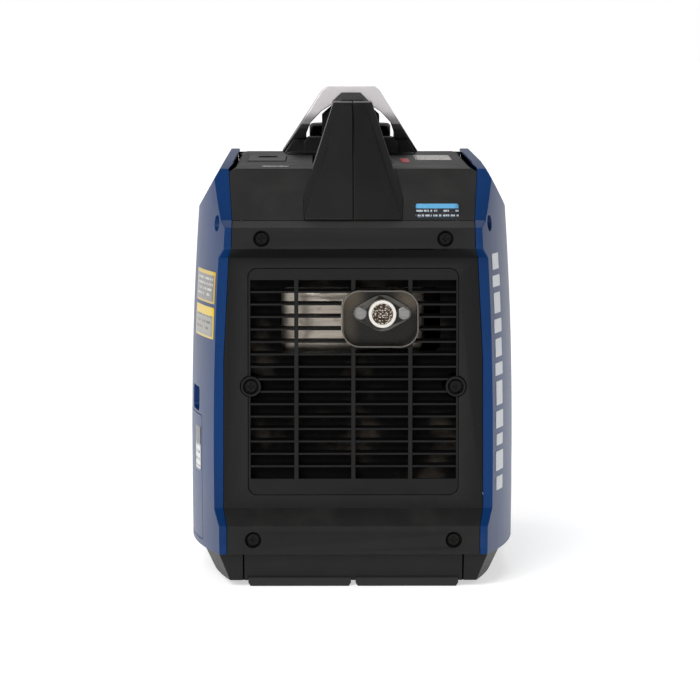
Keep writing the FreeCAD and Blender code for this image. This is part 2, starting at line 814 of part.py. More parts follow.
# ---------------------------------------------------------------- base tray and feet
def build_base():
    """Tray with corner bumpers at both ends, foot pockets below and mount pads inside."""
    outer = barrel("tray_outer", [(D.base_floor, 126, 236), (D.cover_bottom, 138, 246)], 600)
    inner = barrel("tray_inner", [(TRAY_FLOOR, 125, 233), (40, 136, 242)], 600)
    grooves, pockets, rails = [], [], []
    for x in (-96, 96):
        for way in (-1, 1):
            ys = (way * 241 - 8, way * 241 + 8)
            grooves.append(box(f"tray_groove{x}_{way}", (x - 0.6, x + 0.6), ys, (0, 40)))
    for k, (x, y) in enumerate(FOOT_PLACES):
        wide = (x - FOOT_HALF, x + FOOT_HALF)
        pockets.append(box(f"foot_pocket{k}", wide, (y - 13, y + 13), (0, D.foot_height)))
    for k, x in enumerate((-90, 0, 90)):
        rails.append(box(f"tray_rail{k}", (x - 2, x + 2), (-205, 205), (TRAY_FLOOR - 2, TRAY_FLOOR + 6)))
    bowls = cut("tray_bowl", outer, inner)
    skins = [
        box(f"groove_keep{way}", (-140, 140), (way * 117 - 117, way * 117 + 117), (0, 60))
        for way in (-1, 1)
    ]
    scored = cut("tray_scores", fuse("tray_groove_set", *grooves), *skins)
    keep(cut("tray_part", fuse("tray_blank", bowls, *rails), scored, *pockets), "base_tray")
    feet = []
    for k, (x, y) in enumerate(FOOT_PLACES):
        near, far = x - FOOT_HALF, x + FOOT_HALF
        block = [(near + 2, 0), (far - 2, 0), (far, 3), (far, D.foot_height)]
        block += [(near, D.foot_height), (near, 3)]
        foot = prism(f"foot{k}", "XZ", block, y - 13, 26)
        treads = [
            box(f"foot{k}_tread{n}", (near - 1, far + 1), (y + n - 1, y + n + 1), (-1, 1.2))
            for n in (-7, 0, 7)
        ]
        feet.append(cut(f"foot{k}_cut", foot, *treads))
    keep(fuse("feet_part", *feet), "rubber_feet")


# ---------------------------------------------------------------- handle
def loft(name, plane, stations):
    """A ruled loft through outlines, each given with its offset along the plane's positive axis."""
    body = new_body(name)
    sketches = []
    for number, (offset, points) in enumerate(stations):
        sketch = sketch_on(body, f"{name}_station{number}", plane, offset)
        draw_outline(sketch, points)
        sketches.append(sketch)
    result = body.newObject("PartDesign::AdditiveLoft", name + "_loft")
    result.Profile = sketches[0]
    result.Sections = sketches[1:]
    result.Ruled = True
    return body


def octagon(half, top, thick, bevel):
    """Cross-section of the grip (X, Z)."""
    low = top - thick
    return mirrored([(half - bevel, low), (half, low + bevel), (half, top - bevel), (half - bevel, top)])


def grip_top_at(y):
    """Height of the grip's top at a place along it; it rises gently towards the front."""
    return 422 + 3 * (y + 165) / 240


def build_handle_body():
    """The black handle as one solid: pylon, grip, front column, saddle and the arch's pedestals."""
    low = [(0.001, -242.3), (42.5, -241.3), (49.5, -235.8), (49.5, -150)]
    high = [(0.001, -184), (11, -183), (17, -178), (17, -130)]
    pylon = loft("pylon", "XY", [(321.5, mirrored(low)), (422, mirrored(high))])
    grip = loft(
        "grip",
        "XZ",
        [(y, octagon(D.grip_half, grip_top_at(y), D.grip_thick, 8)) for y in (-165, 75)],
    )
    column = prism("column", "XZ", mirrored([(27, 360), (27, 405), (17, 414)]), 58, 16)
    foot_top = D.deck_height + 1.5
    foot = prism("column_foot", "XZ", mirrored([(60, 360), (60, foot_top)]), 60, 13)
    pedestals = []
    for way in (-1, 1):
        face = [(41.8, 360), (66.8, 360), (53.6, 381), (41.8, 381)]
        pedestals.append(prism(f"pedestal{way + 1}", "XZ", [(way * x, z) for x, z in face], 86, 66))
        rail = (way * 51 - 7, way * 51 + 7)
        pedestals.append(box(f"foot_rail{way + 1}", rail, (60, 120), (360, foot_top)))
    saddle = prism("cap_saddle", "XZ", mirrored([(44, 360), (44, 379), (40, 383)]), 70, 34)
    supports = fuse("handle_supports", column, foot, saddle, *pedestals)
    whole = fuse("handle_whole", fuse("handle_spine", pylon, grip), supports)
    return cut("handle_seated", whole, DECK_BLOCK)


def build_handle():
    """Two black half shells with a seam on the middle plane, a silver arch and a ribbed pad."""
    seated = build_handle_body()
    cups, holes = [], []
    for k, (seat, y, z) in enumerate(HANDLE_SCREWS):
        holes.append(rod(f"handle_hole{k}", "X", (-60, y, z), D.screw_shank_radius + 0.3, 120))
        cups.append(rod(f"handle_cup{k}", "X", (seat - 8, y, z), D.screw_head_radius + 0.5, 60))
        SCREW_PLACES.append(("X", (seat, y, z), -1, 8))
    for way, word in ((-1, "left"), (1, "right")):
        near, far = (0.15, 90) if way > 0 else (-90, -0.15)
        side = box(f"handle_{word}_zone", (near, far), (-260, 200), (300, 440))
        half = common(f"handle_{word}_blank", seated, side)
        tools = holes + (cups if way > 0 else [])
        keep(cut(f"handle_{word}_part", half, *tools), f"handle_half_{word}")
    slant = [(150, 362), (182, 362), (182, D.deck_height + 3), (130, 395.8), (108, 408), (96, 425)]
    slant += [(46, D.fork_top), (46, 396), (54, 391.5)]
    front_view = prism("arch_front", "XZ", arch_outline(), 40, 150)
    side_view = prism("arch_side", "YZ", slant, -80, 160)
    blank = common("arch_blank", front_view, side_view)
    keep(cut("arch_part", blank, DOC.getObject("handle_whole"), DECK_BLOCK), "handle_arch")
    build_grip_pad()


def build_grip_pad():
    """Rubber pad over the top of the grip: a thin skin with cross ribs."""
    def band(name, proud):
        stations = [(y, octagon(D.grip_half - 0.4, grip_top_at(y) + proud, 18, 7.8)) for y in (-140, 38)]
        return loft(name, "XZ", stations)

    rib_zones = [box(f"pad_rib{k}", (-20, 20), (-138 + 8 * k, -134 + 8 * k), (400, 440)) for k in range(22)]
    ribs = common("pad_ribs", band("pad_high", 1.5), fuse("pad_rib_zones", *rib_zones))
    pad = fuse("pad_blank", band("pad_low", 0.8), ribs)
    keep(cut("pad_part", pad, DOC.getObject("handle_whole")), "grip_pad")


def arch_outline():
    """Front view of the arch (X, Z): the outer line over the top, then the inner line back."""
    outer = [(size(x), z) for x, z in FORK_OUTER]
    inner = [(size(x), z) for x, z in FORK_INNER]
    left_outer = [(-x, z) for x, z in reversed(outer)]
    left_inner = [(-x, z) for x, z in inner]
    return outer + left_outer + left_inner + list(reversed(inner))


# ---------------------------------------------------------------- fuel tank and cap
def ring_rods(name, centre, ring, radius, z, length, count):
    """Upright rods in a ring, used as flutes."""
    made = []
    for k in range(count):
        angle = 2 * math.pi * k / count
        at = (centre[0] + ring * math.cos(angle), centre[1] + ring * math.sin(angle), z)
        made.append(rod(f"{name}{k}", "Z", at, radius, length))
    return made


def build_fuel_tank():
    middle = (0, 82)
    outer = prism("tank_outer", "XY", rectangle(middle, 190, 180), 225, 110, 16)
    inner = prism("tank_inner", "XY", rectangle(middle, 185, 175), 227.5, 105, 13.5)
    seam = prism("tank_seam", "XY", rectangle(middle, 198, 188), 279, 3, 20)
    neck = rod("tank_neck", "Z", (0, D.cap_forward, 333), D.neck_radius, 41)
    bore = rod("tank_bore", "Z", (0, D.cap_forward, 330), D.neck_radius - 2.5, 50)
    keep(cut("tank_part", fuse("tank_blank", outer, seam, neck), inner, bore), "fuel_tank")


def build_fuel_cap():
    """Screw cap with a fluted skirt, its gasket and the vent knob on top."""
    x, y = 0, D.cap_forward
    bottom, top = D.deck_height + 1.5, 394
    skirt = rod("cap_skirt", "Z", (x, y, bottom), D.cap_radius, top - bottom - 2)
    crown = cone("cap_crown", "Z", (x, y, top - 2), (D.cap_radius, D.cap_radius - 2), 2)
    hollow = rod("cap_hollow", "Z", (x, y, bottom - 1), D.neck_radius + 1.2, 17)
    groove = tube("cap_groove", "Z", (x, y, bottom - 1), (D.neck_radius + 5, D.cap_radius - 3.5), 15)
    flutes = ring_rods("cap_flute", (x, y), D.cap_radius + 1, 2.2, bottom - 1, top - bottom - 2, 24)
    dial = rod("cap_dial", "Z", (x, y, top - 3), 15.5, 10)
    post = rod("cap_post_hole", "Z", (x, y, top - 12), 3.2, 20)
    keep(cut("cap_part", fuse("cap_blank", skirt, crown), hollow, groove, dial, post, *flutes), "fuel_cap")
    seal = rod("gasket_disc", "Z", (x, y, 374.4), D.neck_radius + 0.6, 2)
    spigot = tube("gasket_spigot", "Z", (x, y, 364), (12, D.neck_radius - 3.4), 10.8)
    hole = rod("gasket_hole", "Z", (x, y, 360), 4, 30)
    keep(cut("gasket_part", fuse("gasket_blank", seal, spigot), hole), "cap_gasket")
    plate = rod("vent_plate", "Z", (x, y, top - 2.6), 15, 3)
    lever = stadium("vent_lever", (x, y), 8, 27, top + 0.2, 6)
    stem = rod("vent_stem", "Z", (x, y, top - 11), 2.8, 10)
    keep(fuse("vent_part", plate, lever, stem), "vent_knob")


# ---------------------------------------------------------------- engine
def crank_rod(name, start, radius, length):
    return rod(name, "Y", (0, start, D.crank_height), radius, length)


def crank_tube(name, start, radii, length):
    return tube(name, "Y", (0, start, D.crank_height), radii, length)


def spoke(name, angle, reach, width, y):
    """A block between radii reach[0] and reach[1] of the crank axis, at an angle from +X."""
    block = DOC.addObject("Part::Box", name)
    bind(block, Length=reach[1] - reach[0], Width=y[1] - y[0], Height=width)
    turn = FreeCAD.Rotation(V(0, 1, 0), -angle)
    hub = V(0, 0, D.crank_height.value)
    block.Placement = FreeCAD.Placement(hub + turn.multVec(V(reach[0], y[0], -width / 2)), turn)
    return block


def build_crankcase():
    back, front = ENGINE_BACK, ENGINE_FRONT
    axis = D.cylinder_back
    outer = prism("case_outer", "XZ", rectangle((0, 99), 120, 102), back, front - back, 10)
    cavity = prism("case_cavity", "XZ", rectangle((0, 99), 104, 86), back + 10, 200, 6)
    barrel_rod = rod("case_barrel", "Z", (0, axis, 145), D.bore_radius + 9, 80)
    fins = []
    for k in range(6):
        fins.append(
            prism(f"case_fin{k}", "XY", rectangle((0, axis), 96, 84), 160 + 10.5 * k, 3, 12)
        )
    bore = rod("case_bore", "Z", (0, axis, 130), D.bore_radius, 110)
    seat = crank_rod("case_bearing_seat", back - 5, D.bearing_radius, 30)
    boss = crank_rod("case_bearing_boss", back, D.bearing_radius + 8, 16)
    feet, feet_holes = [], []
    for k, (x, y) in enumerate(MOUNT_PLACES):
        feet.append(box(f"case_foot{k}", (x - 14, x + 14), (y - 12, y + 12), (38, 50)))
        feet_holes.append(rod(f"case_foot_hole{k}", "Z", (x, y, 30), 4.3, 18))
    filler = rod("case_filler", "X", (-72, -88, 76), 11, 20)
    filler_bore = rod("case_filler_bore", "X", (-80, -88, 76), 7.5, 40)
    hollow = cut("case_hollow", outer, cavity)
    blank = fuse("case_blank", hollow, barrel_rod, boss, filler, *fins, *feet)
    keep(cut("case_part", blank, bore, seat, filler_bore, *feet_holes), "crankcase")
    plate = prism("cover_plate", "XZ", rectangle((0, 99), 120, 102), front, 12, 10)
    nose = crank_rod("cover_nose", front, 24, 64)
    hole = crank_rod("cover_hole", front - 5, 10, 90)
    pocket = crank_rod("cover_bearing_seat", front - 5, D.bearing_radius, 17)
    bolts = [
        rod(f"cover_bolt{k}", "Y", (x, front + 12, z), 4.5, 4)
        for k, (x, z) in enumerate(CASE_BOLTS)
    ]
    keep(cut("cover_part", fuse("cover_blank", plate, nose, *bolts), hole, pocket), "crankcase_cover")
    bearings = []
    for k, (start, thick) in enumerate(((back, 11), (front, 11))):
        ring = crank_tube(f"bearing{k}", start, (D.journal_radius + 0.04, D.bearing_radius), thick)
        groove = crank_tube(f"bearing_groove{k}", start - 1, (11, 14.5), 2.2)
        bearings.append(cut(f"bearing_ring{k}", ring, groove))
    keep(fuse("bearings_part", *bearings), "main_bearings")


def build_crankshaft():
    """Two webs round an offset crankpin, with the tapered nose that carries the rotor and the fan."""
    shaft = crank_rod("crank_rear", ENGINE_BACK - 2, D.journal_radius, 42)
    nose = crank_rod("crank_nose", -54, D.journal_radius, 170)
    throw = D.crank_height + D.stroke / 2
    pin = rod("crank_pin", "Y", (0, -72, throw), 9, 22)
    webs = []
    for k, y in enumerate((-78, -54)):
        wide = rod(f"crank_web{k}", "Y", (0, y, D.crank_height), 34, 10)
        thick = (y - 1, y + 11)
        low, high = D.crank_height - 40, D.crank_height + 40
        cheek_zone = box(f"crank_web_zone{k}", (-19, 19), thick, (low, high))
        weight_zone = box(f"crank_weight_zone{k}", (-40, 40), thick, (low, D.crank_height + 2))
        zone = fuse(f"crank_zone{k}", cheek_zone, weight_zone)
        webs.append(common(f"crank_cheek{k}", wide, zone))
    keep(fuse("crank_part", shaft, nose, pin, *webs), "crankshaft")


def build_head():
    axis = D.cylinder_back
    block = prism("head_block", "XY", rectangle((0, axis), 92, 80), 225, 37, 8)
    slots = []
    for k in range(4):
        for side, reach in (("left", (-60, -34)), ("right", (34, 60))):
            level = (231 + 8 * k, 235 + 8 * k)
            slots.append(box(f"head_slot_{side}{k}", reach, (axis - 50, axis + 50), level))
    chamber = rod("head_chamber", "Z", (0, axis, 220), D.bore_radius - 2, 12)
    intake = rod("head_intake", "X", (-60, axis + 12, PORT_HEIGHT), 9, 50)
    intake_pad = box("head_intake_pad", (-50, -40), (axis - 8, axis + 32), (229, 257))
    exhaust = rod("head_exhaust", "Y", (HEADER_ACROSS, axis - 60, PORT_HEIGHT), 10, 50)
    exhaust_pad = box("head_exhaust_pad", (-16, 24), (axis - 44, axis - 36), (228, 258))
    hole = plug_rod("head_plug_hole", -12, 6.8, 40)
    seat = plug_rod("head_plug_seat", 25.5, 11.5, 40)
    blank = fuse("head_blank", cut("head_finned", block, *slots), intake_pad, exhaust_pad)
    keep(cut("head_part", blank, chamber, intake, exhaust, hole, seat), "cylinder_head")
    cover = prism("rocker_outer", "XY", rectangle((20, axis), 48, 74), 262, 26, 8)
    lip = prism("rocker_lip", "XY", rectangle((20, axis), 52, 78), 262, 4, 8)
    inner = prism("rocker_inner", "XY", rectangle((20, axis), 43, 69), 255, 30, 6)
    bolts = [rod(f"rocker_bolt{k}", "Z", (20, axis + dy, 287), 5, 5) for k, dy in enumerate((-24, 24))]
    keep(cut("rocker_part", fuse("rocker_blank", cover, lip, *bolts), inner), "rocker_cover")


def plug_rod(name, along, radius, length):
    """A cylinder on the tilted axis of the spark plug."""
    angle = math.radians(PLUG_TURN[1])
    at = (PLUG_FOOT[0] + along * math.sin(angle), PLUG_FOOT[1], PLUG_FOOT[2] + along * math.cos(angle))
    piece = DOC.addObject("Part::Cylinder", name)
    bind(piece, Radius=radius, Height=length)
    return place(piece, *at, PLUG_TURN)


def build_spark_plug():
    thread = plug_rod("plug_thread", -6, 6.8, 32)
    hexagon = plug_rod("plug_hexagon", 26, 9.5, 9)
    ceramic = plug_rod("plug_ceramic", 35, 5, 26)
    keep(fuse("plug_part", thread, hexagon, ceramic), "spark_plug")
    shell = plug_rod("boot_shell", 37, 9, 34)
    space = plug_rod("boot_space", 36, 5, 25)
    lead = rod("boot_lead", "Y", (-46, -54, 288), 3.5, 40)
    keep(cut("boot_part", fuse("boot_blank", shell, lead), space), "plug_boot")


def build_alternator():
    """Outer-rotor alternator: toothed stator with coils, magnet cup, fan and starter cup."""
    ring = crank_tube("stator_ring", 20, (24, 33), 34)
    teeth, tips, coils = [], [], []
    for k in range(12):
        angle = 30 * k
        teeth.append(spoke(f"stator_tooth{k}", angle, (31, 54), 6, (20, 54)))
        tips.append(spoke(f"stator_tip{k}", angle, (50, 54), 20, (20, 54)))
        coil = spoke(f"coil{k}", angle, (35, 49), 11, (16.5, 57.5))
        core = spoke(f"coil_core{k}", angle, (34, 50.5), 6, (20, 54))
        coils.append(cut(f"coil_loop{k}", coil, core))
    keep(fuse("stator_part", ring, *teeth, *tips), "alternator_stator")
    keep(fuse("coils_part", *coils), "stator_coils")
    cup = crank_tube("rotor_cup", 14, (D.rotor_radius - 10, D.rotor_radius), 52)
    disc = crank_tube("rotor_disc", 62, (D.journal_radius, D.rotor_radius), 4)
    hub = crank_tube("rotor_hub", 60, (D.journal_radius, 16), 8)
    keep(fuse("rotor_part", cup, disc, hub), "flywheel_rotor")
    plate = crank_tube("fan_plate", 68, (D.journal_radius, 80), 3)
    blades = []
    for k in range(14):
        blades.append(spoke(f"fan_blade{k}", 360 / 14 * k, (46, 80), 2.6, (70, 92)))
    base = crank_tube("starter_base", 71, (D.journal_radius, 30), 4)
    wall = crank_tube("starter_wall", 71, (27, 30), 30)
    windows = [spoke(f"starter_window{k}", 60 * k, (24, 34), 9, (84, 96)) for k in range(6)]
    nut = crank_tube("starter_nut", 75, (D.journal_radius, 13), 10)
    cup = cut("starter_cup", fuse("starter_blank", base, wall), *windows)
    keep(fuse("fan_part", plate, *blades, cup, nut), "cooling_fan")
    duct = crank_tube("shroud_duct", 0, (SHROUD_RADIUS - 2.5, SHROUD_RADIUS), 98)
    rear = crank_tube("shroud_rear", 0, (52, SHROUD_RADIUS), 2.5)
    face = crank_tube("shroud_face", 96, (62, SHROUD_RADIUS), 2.5)
    bolt_space = [
        rod(f"shroud_bolt_gap{k}", "Y", (x, -2, z), 6, 8)
        for k, (x, z) in enumerate(CASE_BOLTS)
    ]
    bars = [box(f"cradle{k}", (x - 6, x + 6), (12, 88), (150, 225)) for k, x in enumerate((-56, 56))]
    seat = crank_rod("cradle_seat", -20, SHROUD_RADIUS - 1, 200)
    cradles = cut("cradles", fuse("cradle_bars", *bars), seat)
    keep(cut("shroud_part", fuse("shroud_blank", duct, rear, face, cradles), *bolt_space), "fan_shroud")


# ---------------------------------------------------------------- recoil starter
def build_recoil_starter():
    y = D.recoil_forward.value
    legs, pads = [], []
    for k, angle in enumerate(RECOIL_LEGS):
        legs.append(spoke(f"recoil_leg{k}", angle, (62, 78), 18, (98.5, y + 14)))
        pads.append(spoke(f"recoil_pad{k}", angle, (62, 84), 18, (98.5, 102)))
    wall = crank_tube("recoil_wall", y - 12, (60, 63), 29)
    face = crank_rod("recoil_face", y + 14, 63, 3)
    post = crank_rod("recoil_post", y - 12, 6, 28)
    vents = [spoke(f"recoil_vent{k}", 30 * k + 15, (26, 52), 7, (y + 10, y + 22)) for k in range(12)]
    exit_hole = rod("recoil_exit", "X", (-80, D.recoil_forward, ROPE_HEIGHT), 6, 70)
    inner = crank_rod("recoil_clear", y - 16, 60, 30)
    legs_trimmed = cut("recoil_legs", fuse("recoil_leg_set", *legs, *pads), inner)
    blank = fuse("recoil_blank", legs_trimmed, wall, cut("recoil_face_open", face, *vents), post)
    keep(cut("recoil_housing_part", blank, exit_hole), "recoil_housing")
    flanges = crank_tube("pulley_body", y - 9, (6.05, 40), 18)
    groove = crank_tube("pulley_groove", y - 5, (D.recoil_radius, 45), 10)
    pawl_space = crank_tube("pulley_pocket", y - 12, (14, 24), 8)
    keep(cut("pulley_part", flanges, groove, pawl_space), "recoil_pulley")
    keep(crank_tube("coil_part", y - 4, (D.recoil_radius, D.recoil_radius + 4), 8), "rope_coil")
    keep(rod("strand_part", "X", (-122, D.recoil_forward, ROPE_HEIGHT), 2.2, 100), "recoil_rope")
    bar = prism("grip_bar", "YZ", rectangle((D.recoil_forward, ROPE_HEIGHT), 84, 24), -139, 15, 10)
    neck = rod("grip_neck", "X", (-124.5, D.recoil_forward, ROPE_HEIGHT), 7, 5.5)
    eye = rod("grip_eye", "X", (-122, D.recoil_forward, ROPE_HEIGHT), 2.2, 10)
    ribs = [
        box(f"grip_rib{k}", (-140, -138), (y + dy - 1.5, y + dy + 1.5), (ROPE_HEIGHT - 9, ROPE_HEIGHT + 9))
        for k, dy in enumerate((-32, -24, -16, 16, 24, 32))
    ]
    keep(cut("grip_part", fuse("grip_blank", bar, neck), eye, *ribs), "recoil_grip")
    patch = common("bezel_patch", RIM_SKIN, side_pocket("bezel_edge", 100, 46, -170, 70))
    cup = side_pocket("bezel_cup", 96, 42, -142, 30.5)
    void = side_pocket("bezel_void", 90, 32, -170, 56)
    eyelet = rod("bezel_eyelet", "X", (-120, D.recoil_forward, ROPE_HEIGHT), 4, 20)
    inside = common("bezel_inside", cup, RIM_BLOCK)
    keep(cut("bezel_part", fuse("bezel_blank", patch, inside), void, eyelet), "recoil_bezel")


# ---------------------------------------------------------------- intake and oil filler
def build_intake():
    y = D.cylinder_back + 12
    flange = box("carb_flange", (-54, -50), (y - 18, y + 18), (229, 257))
    throat = rod("carb_throat", "X", (-104, y, PORT_HEIGHT), 13, 52)
    block = box("carb_block", (-96, -66), (y - 15, y + 15), (226, 258))
    bowl = rod("carb_bowl", "Z", (-81, y, 202), 15, 26)
    bore = rod("carb_bore", "X", (-110, y, PORT_HEIGHT), 9, 70)
    motor = rod("throttle_motor", "Z", (-81, y, 258), 11, 22)
    keep(cut("carb_part", fuse("carb_blank", flange, throat, block, bowl, motor), bore), "carburettor")
    duct = box("hose_duct", (-131, -109), (y - 11, y + 11), (126, 256))
    tail = rod("hose_tail", "X", (-112, y, PORT_HEIGHT), 16, 14)
    duct_void = box("hose_void", (-129, -111), (y - 9, y + 9), (120, 254))
    tail_void = rod("hose_tail_void", "X", (-116, y, PORT_HEIGHT), 13, 30)
    bellows = [
        box(f"hose_ring{k}", (-132.5, -107.5), (y - 12.5, y + 12.5), (150 + 9 * k, 153 + 9 * k))
        for k in range(6)
    ]
    keep(cut("hose_part", fuse("hose_blank", duct, tail, *bellows), duct_void, tail_void), "intake_hose")
    case = box("filter_case", (-133, -93), (-60, 60), (46, 126))
    void = box("filter_void", (-140, -96), (-57, 57), (49, 123))
    port = box("filter_port", (-129, -111), (y - 9, y + 9), (120, 130))
    element = box("filter_element", (-126, -104), (-56, 56), (50, 118))
    cells = [
        box(f"filter_cell{k}", (-127, -120), (-54 + 11 * k, -45 + 11 * k), (54, 114))
        for k in range(10)
    ]
    keep(cut("filter_element_part", element, *cells), "air_filter_element")
    lid = box("filter_lid", (-136.5, -133), (-62, 62), (44, 128))
    lip = box("filter_lip", (-133, -131), (-56.5, 56.5), (49.5, 122.5))
    knob = rod("filter_screw", "X", (-138.5, 0, 86), 7, 2.2)
    opened = cut("filter_case_open", case, void, port)
    keep(fuse("filter_part", opened, lid, lip, knob), "air_filter_box")


def build_dipstick():
    at = (-90, -88, 76)
    head = rod("dipstick_head", "X", at, 13, 8)
    wing = box("dipstick_wing", (-100, -88), (-90.5, -85.5), (64, 88))
    collar = rod("dipstick_collar", "X", (-82, -88, 76), 9, 9.6)
    stem = rod("dipstick_stem", "X", (-74, -88, 76), 3, 48)
    plug = rod("dipstick_plug", "X", (-72.4, -88, 76), 7.1, 12)
    keep(fuse("dipstick_part", head, wing, collar, plug, stem), "oil_dipstick")


# ---------------------------------------------------------------- exhaust
def flange_bridge(x, z):
    """Straight sides of the two-bolt flange, tangent to its middle disc and to both ears."""
    angle = math.acos((FLANGE_MIDDLE - FLANGE_EAR) / D.bolt_reach.value)
    across, up = math.cos(angle), math.sin(angle)
    near = (FLANGE_MIDDLE * across, FLANGE_MIDDLE * up)
    far = (D.bolt_reach + FLANGE_EAR * across, FLANGE_EAR * up)
    corners = [(far[0], -far[1]), far, near, (-near[0], near[1])]
    corners += [(-far[0], far[1]), (-far[0], -far[1]), (-near[0], -near[1]), (near[0], -near[1])]
    return [(x + dx, z + dz) for dx, dz in corners]


def build_muffler():
    """Box muffler behind the duct wall, with its header pipe to the cylinder head."""
    x, z = D.outlet_across, D.outlet_height
    can = prism("muffler_can", "XZ", rectangle(MUFFLER_MIDDLE, 124, 70), -221.5, 60, 14)
    seams = prism("muffler_seam", "XZ", rectangle(MUFFLER_MIDDLE, 130, 76), -193, 3, 17)
    void = prism("muffler_void", "XZ", rectangle(MUFFLER_MIDDLE, 120, 66), -219.5, 56, 12)
    bosses = outlet_pair("muffler_boss", -223.5, 7, 6)
    outlet = rod("muffler_outlet", "Y", (x, -230, z), D.tail_pipe_radius - 2.7, 20)
    inlet = rod("muffler_inlet", "Y", (HEADER_ACROSS, -170, PORT_HEIGHT), 10, 20)
    pipe = tube("header_pipe", "Y", (HEADER_ACROSS, -161.5, PORT_HEIGHT), (10, 13), 53.5)
    across, up = (HEADER_ACROSS - 20, HEADER_ACROSS + 20), (PORT_HEIGHT - 15, PORT_HEIGHT + 15)
    collar = box("header_flange", across, (-108, -104), up)
    bore = rod("header_bore", "Y", (HEADER_ACROSS, -170, PORT_HEIGHT), 10, 80)
    shell = cut("muffler_shell", fuse("muffler_blank", can, seams, *bosses), void, outlet, inlet)
    keep(cut("muffler_part", fuse("muffler_set", shell, pipe, collar), bore), "muffler")


def outlet_pair(name, y, radius, length):
    """Two rods along Y at the outlet's bolts."""
    return [
        rod(
            f"{name}{way + 1}",
            "Y",
            (D.outlet_across + way * D.bolt_reach, y, D.outlet_height),
            radius,
            length,
        )
        for way in (-1, 1)
    ]


def build_exhaust_outlet():
    """Dish in the grille with the bolted flange, the tail pipe and the spark arrestor."""
    x, z = D.outlet_across, D.outlet_height
    bore, rim, back = D.tail_pipe_radius - 2.7, -243.2, -225
    middle, corner = (D.dish_across, D.dish_height), D.dish_corner
    sheet, floor = 1.4, 0.5
    dish = rectangle(middle, D.dish_width, D.dish_tall)
    room = rectangle(middle, D.dish_width - 2 * sheet, D.dish_tall - 2 * sheet)
    wall = prism("dish_wall", "XZ", dish, rim, back - rim, corner)
    hollow = prism("dish_hollow", "XZ", room, rim - 2, back - rim + floor, corner - sheet)
    throat = rod("dish_throat", "Y", (x, -240, z), bore, 30)
    stems = outlet_pair("dish_stem", -240, 3.4, 30)
    keep(cut("dish_part", wall, hollow, throat, *stems), "exhaust_dish")
    face, thick = -229.5, 3
    ears = outlet_pair("flange_ear", face, FLANGE_EAR, thick)
    disc = rod("flange_middle", "Y", (x, face, z), FLANGE_MIDDLE, thick)
    bridge = prism("flange_bridge", "XZ", flange_bridge(x, z), face, thick)
    holes = outlet_pair("flange_hole", face - 3, 3.4, 12)
    centre = rod("flange_centre", "Y", (x, face - 3, z), D.tail_pipe_radius, 12)
    plate = cut("flange_plate", fuse("flange_blank", bridge, disc, *ears), centre, *holes)
    pipe = tube("tail_pipe", "Y", (x, -242, z), (bore, D.tail_pipe_radius), 15.5)
    keep(fuse("flange_part", plate, pipe), "outlet_flange")
    mesh = tube("arrestor_wall", "Y", (x, -240, z), (7.6, bore - 0.2), 16)
    end = rod("arrestor_end", "Y", (x, -240, z), bore - 0.2, 1.2)
    keep(fuse("arrestor_part", mesh, end), "spark_arrestor")
    pieces = outlet_pair("outlet_washer", -231, 5.6, 1.5) + outlet_pair("outlet_shank", -231, 3, 7.4)
    for way in (-1, 1):
        hexagon = hexagon_points(x + way * D.bolt_reach, z, 4.6)
        pieces.append(prism(f"outlet_head{way + 1}", "XZ", hexagon, -235.5, 4.5))
    keep(fuse("outlet_bolts_part", *pieces), "outlet_bolts")


def hexagon_points(x, z, apothem):
    """Corners of a hexagon round (x, z) with two upright flats."""
    half = apothem / math.sqrt(3)
    corners = [(apothem, -half), (apothem, half), (0, 2 * half)]
    corners += [(-a, -b) for a, b in corners]
    return [(x + dx, z + dz) for dx, dz in corners]


# ---------------------------------------------------------------- inverter and control panel
def build_inverter():
    case = prism("inverter_case", "XZ", rectangle((0, 92), 168, 104), 158, 26, 8)
    fins = [
        box(f"inverter_fin{k}", (x - 1.2, x + 1.2), (183, 198), (46, 138))
        for k, x in enumerate(range(-77, 78, 14))
    ]
    feet = [
        box(f"inverter_foot{k}", (x - 8, x + 8), (160, 182), (TRAY_FLOOR + 6, 41))
        for k, x in enumerate((-70, 70))
    ]
    keep(fuse("inverter_part", case, *fins, *feet), "inverter_module")


def build_engine_mounts():
    """Waisted rubber mounts between the tray's floor and the crankcase feet."""
    mounts = []
    for k, (x, y) in enumerate(MOUNT_PLACES):
        low = cone(f"mount_low{k}", "Z", (x, y, TRAY_FLOOR), (14, 10), 13)
        high = cone(f"mount_high{k}", "Z", (x, y, TRAY_FLOOR + 13), (10, 14), 14)
        stud = rod(f"mount_stud{k}", "Z", (x, y, TRAY_FLOOR + 26), 4, 10)
        mounts.append(fuse(f"mount{k}", low, high, stud))
    keep(fuse("mounts_part", *mounts), "engine_mounts")


def build_control_panel():
    """Panel with its openings; it is held behind the window of the front cover."""
    back = END_FACE - D.wall
    plate = prism("panel_plate", "XZ", window_outline(0), back, D.wall, D.window_radius)
    flange = prism("panel_flange", "XZ", window_outline(6), back - 2.3, 2, D.window_radius)
    step = prism("panel_step", "XZ", window_outline(-1), back - 0.7, 1.2, D.window_radius)
    holes = [prism("panel_hollow", "XZ", window_outline(-5), back - 4, 4, D.window_radius - 4)]
    for k, (x, z) in enumerate(OUTLETS):
        holes.append(prism(f"panel_outlet{k}", "XZ", rectangle((x, z), 56, 50), back - 5, 20, 6))
    small = [("dial", DIAL, 6), ("reset", RESET, 6), ("ground", GROUND, 3)]
    small += [(f"lens{k}", at, 3.6) for k, at in enumerate(LENSES)]
    for word, (x, z), radius in small:
        holes.append(rod(f"panel_{word}", "Y", (x, back - 5, z), radius, 20))
    x, z = ECO
    holes.append(box("panel_eco", (x - 7, x + 7), (back - 5, back + 15), (z - 12, z + 12)))
    keep(cut("panel_part", fuse("panel_blank", plate, flange, step), *holes), "control_panel")


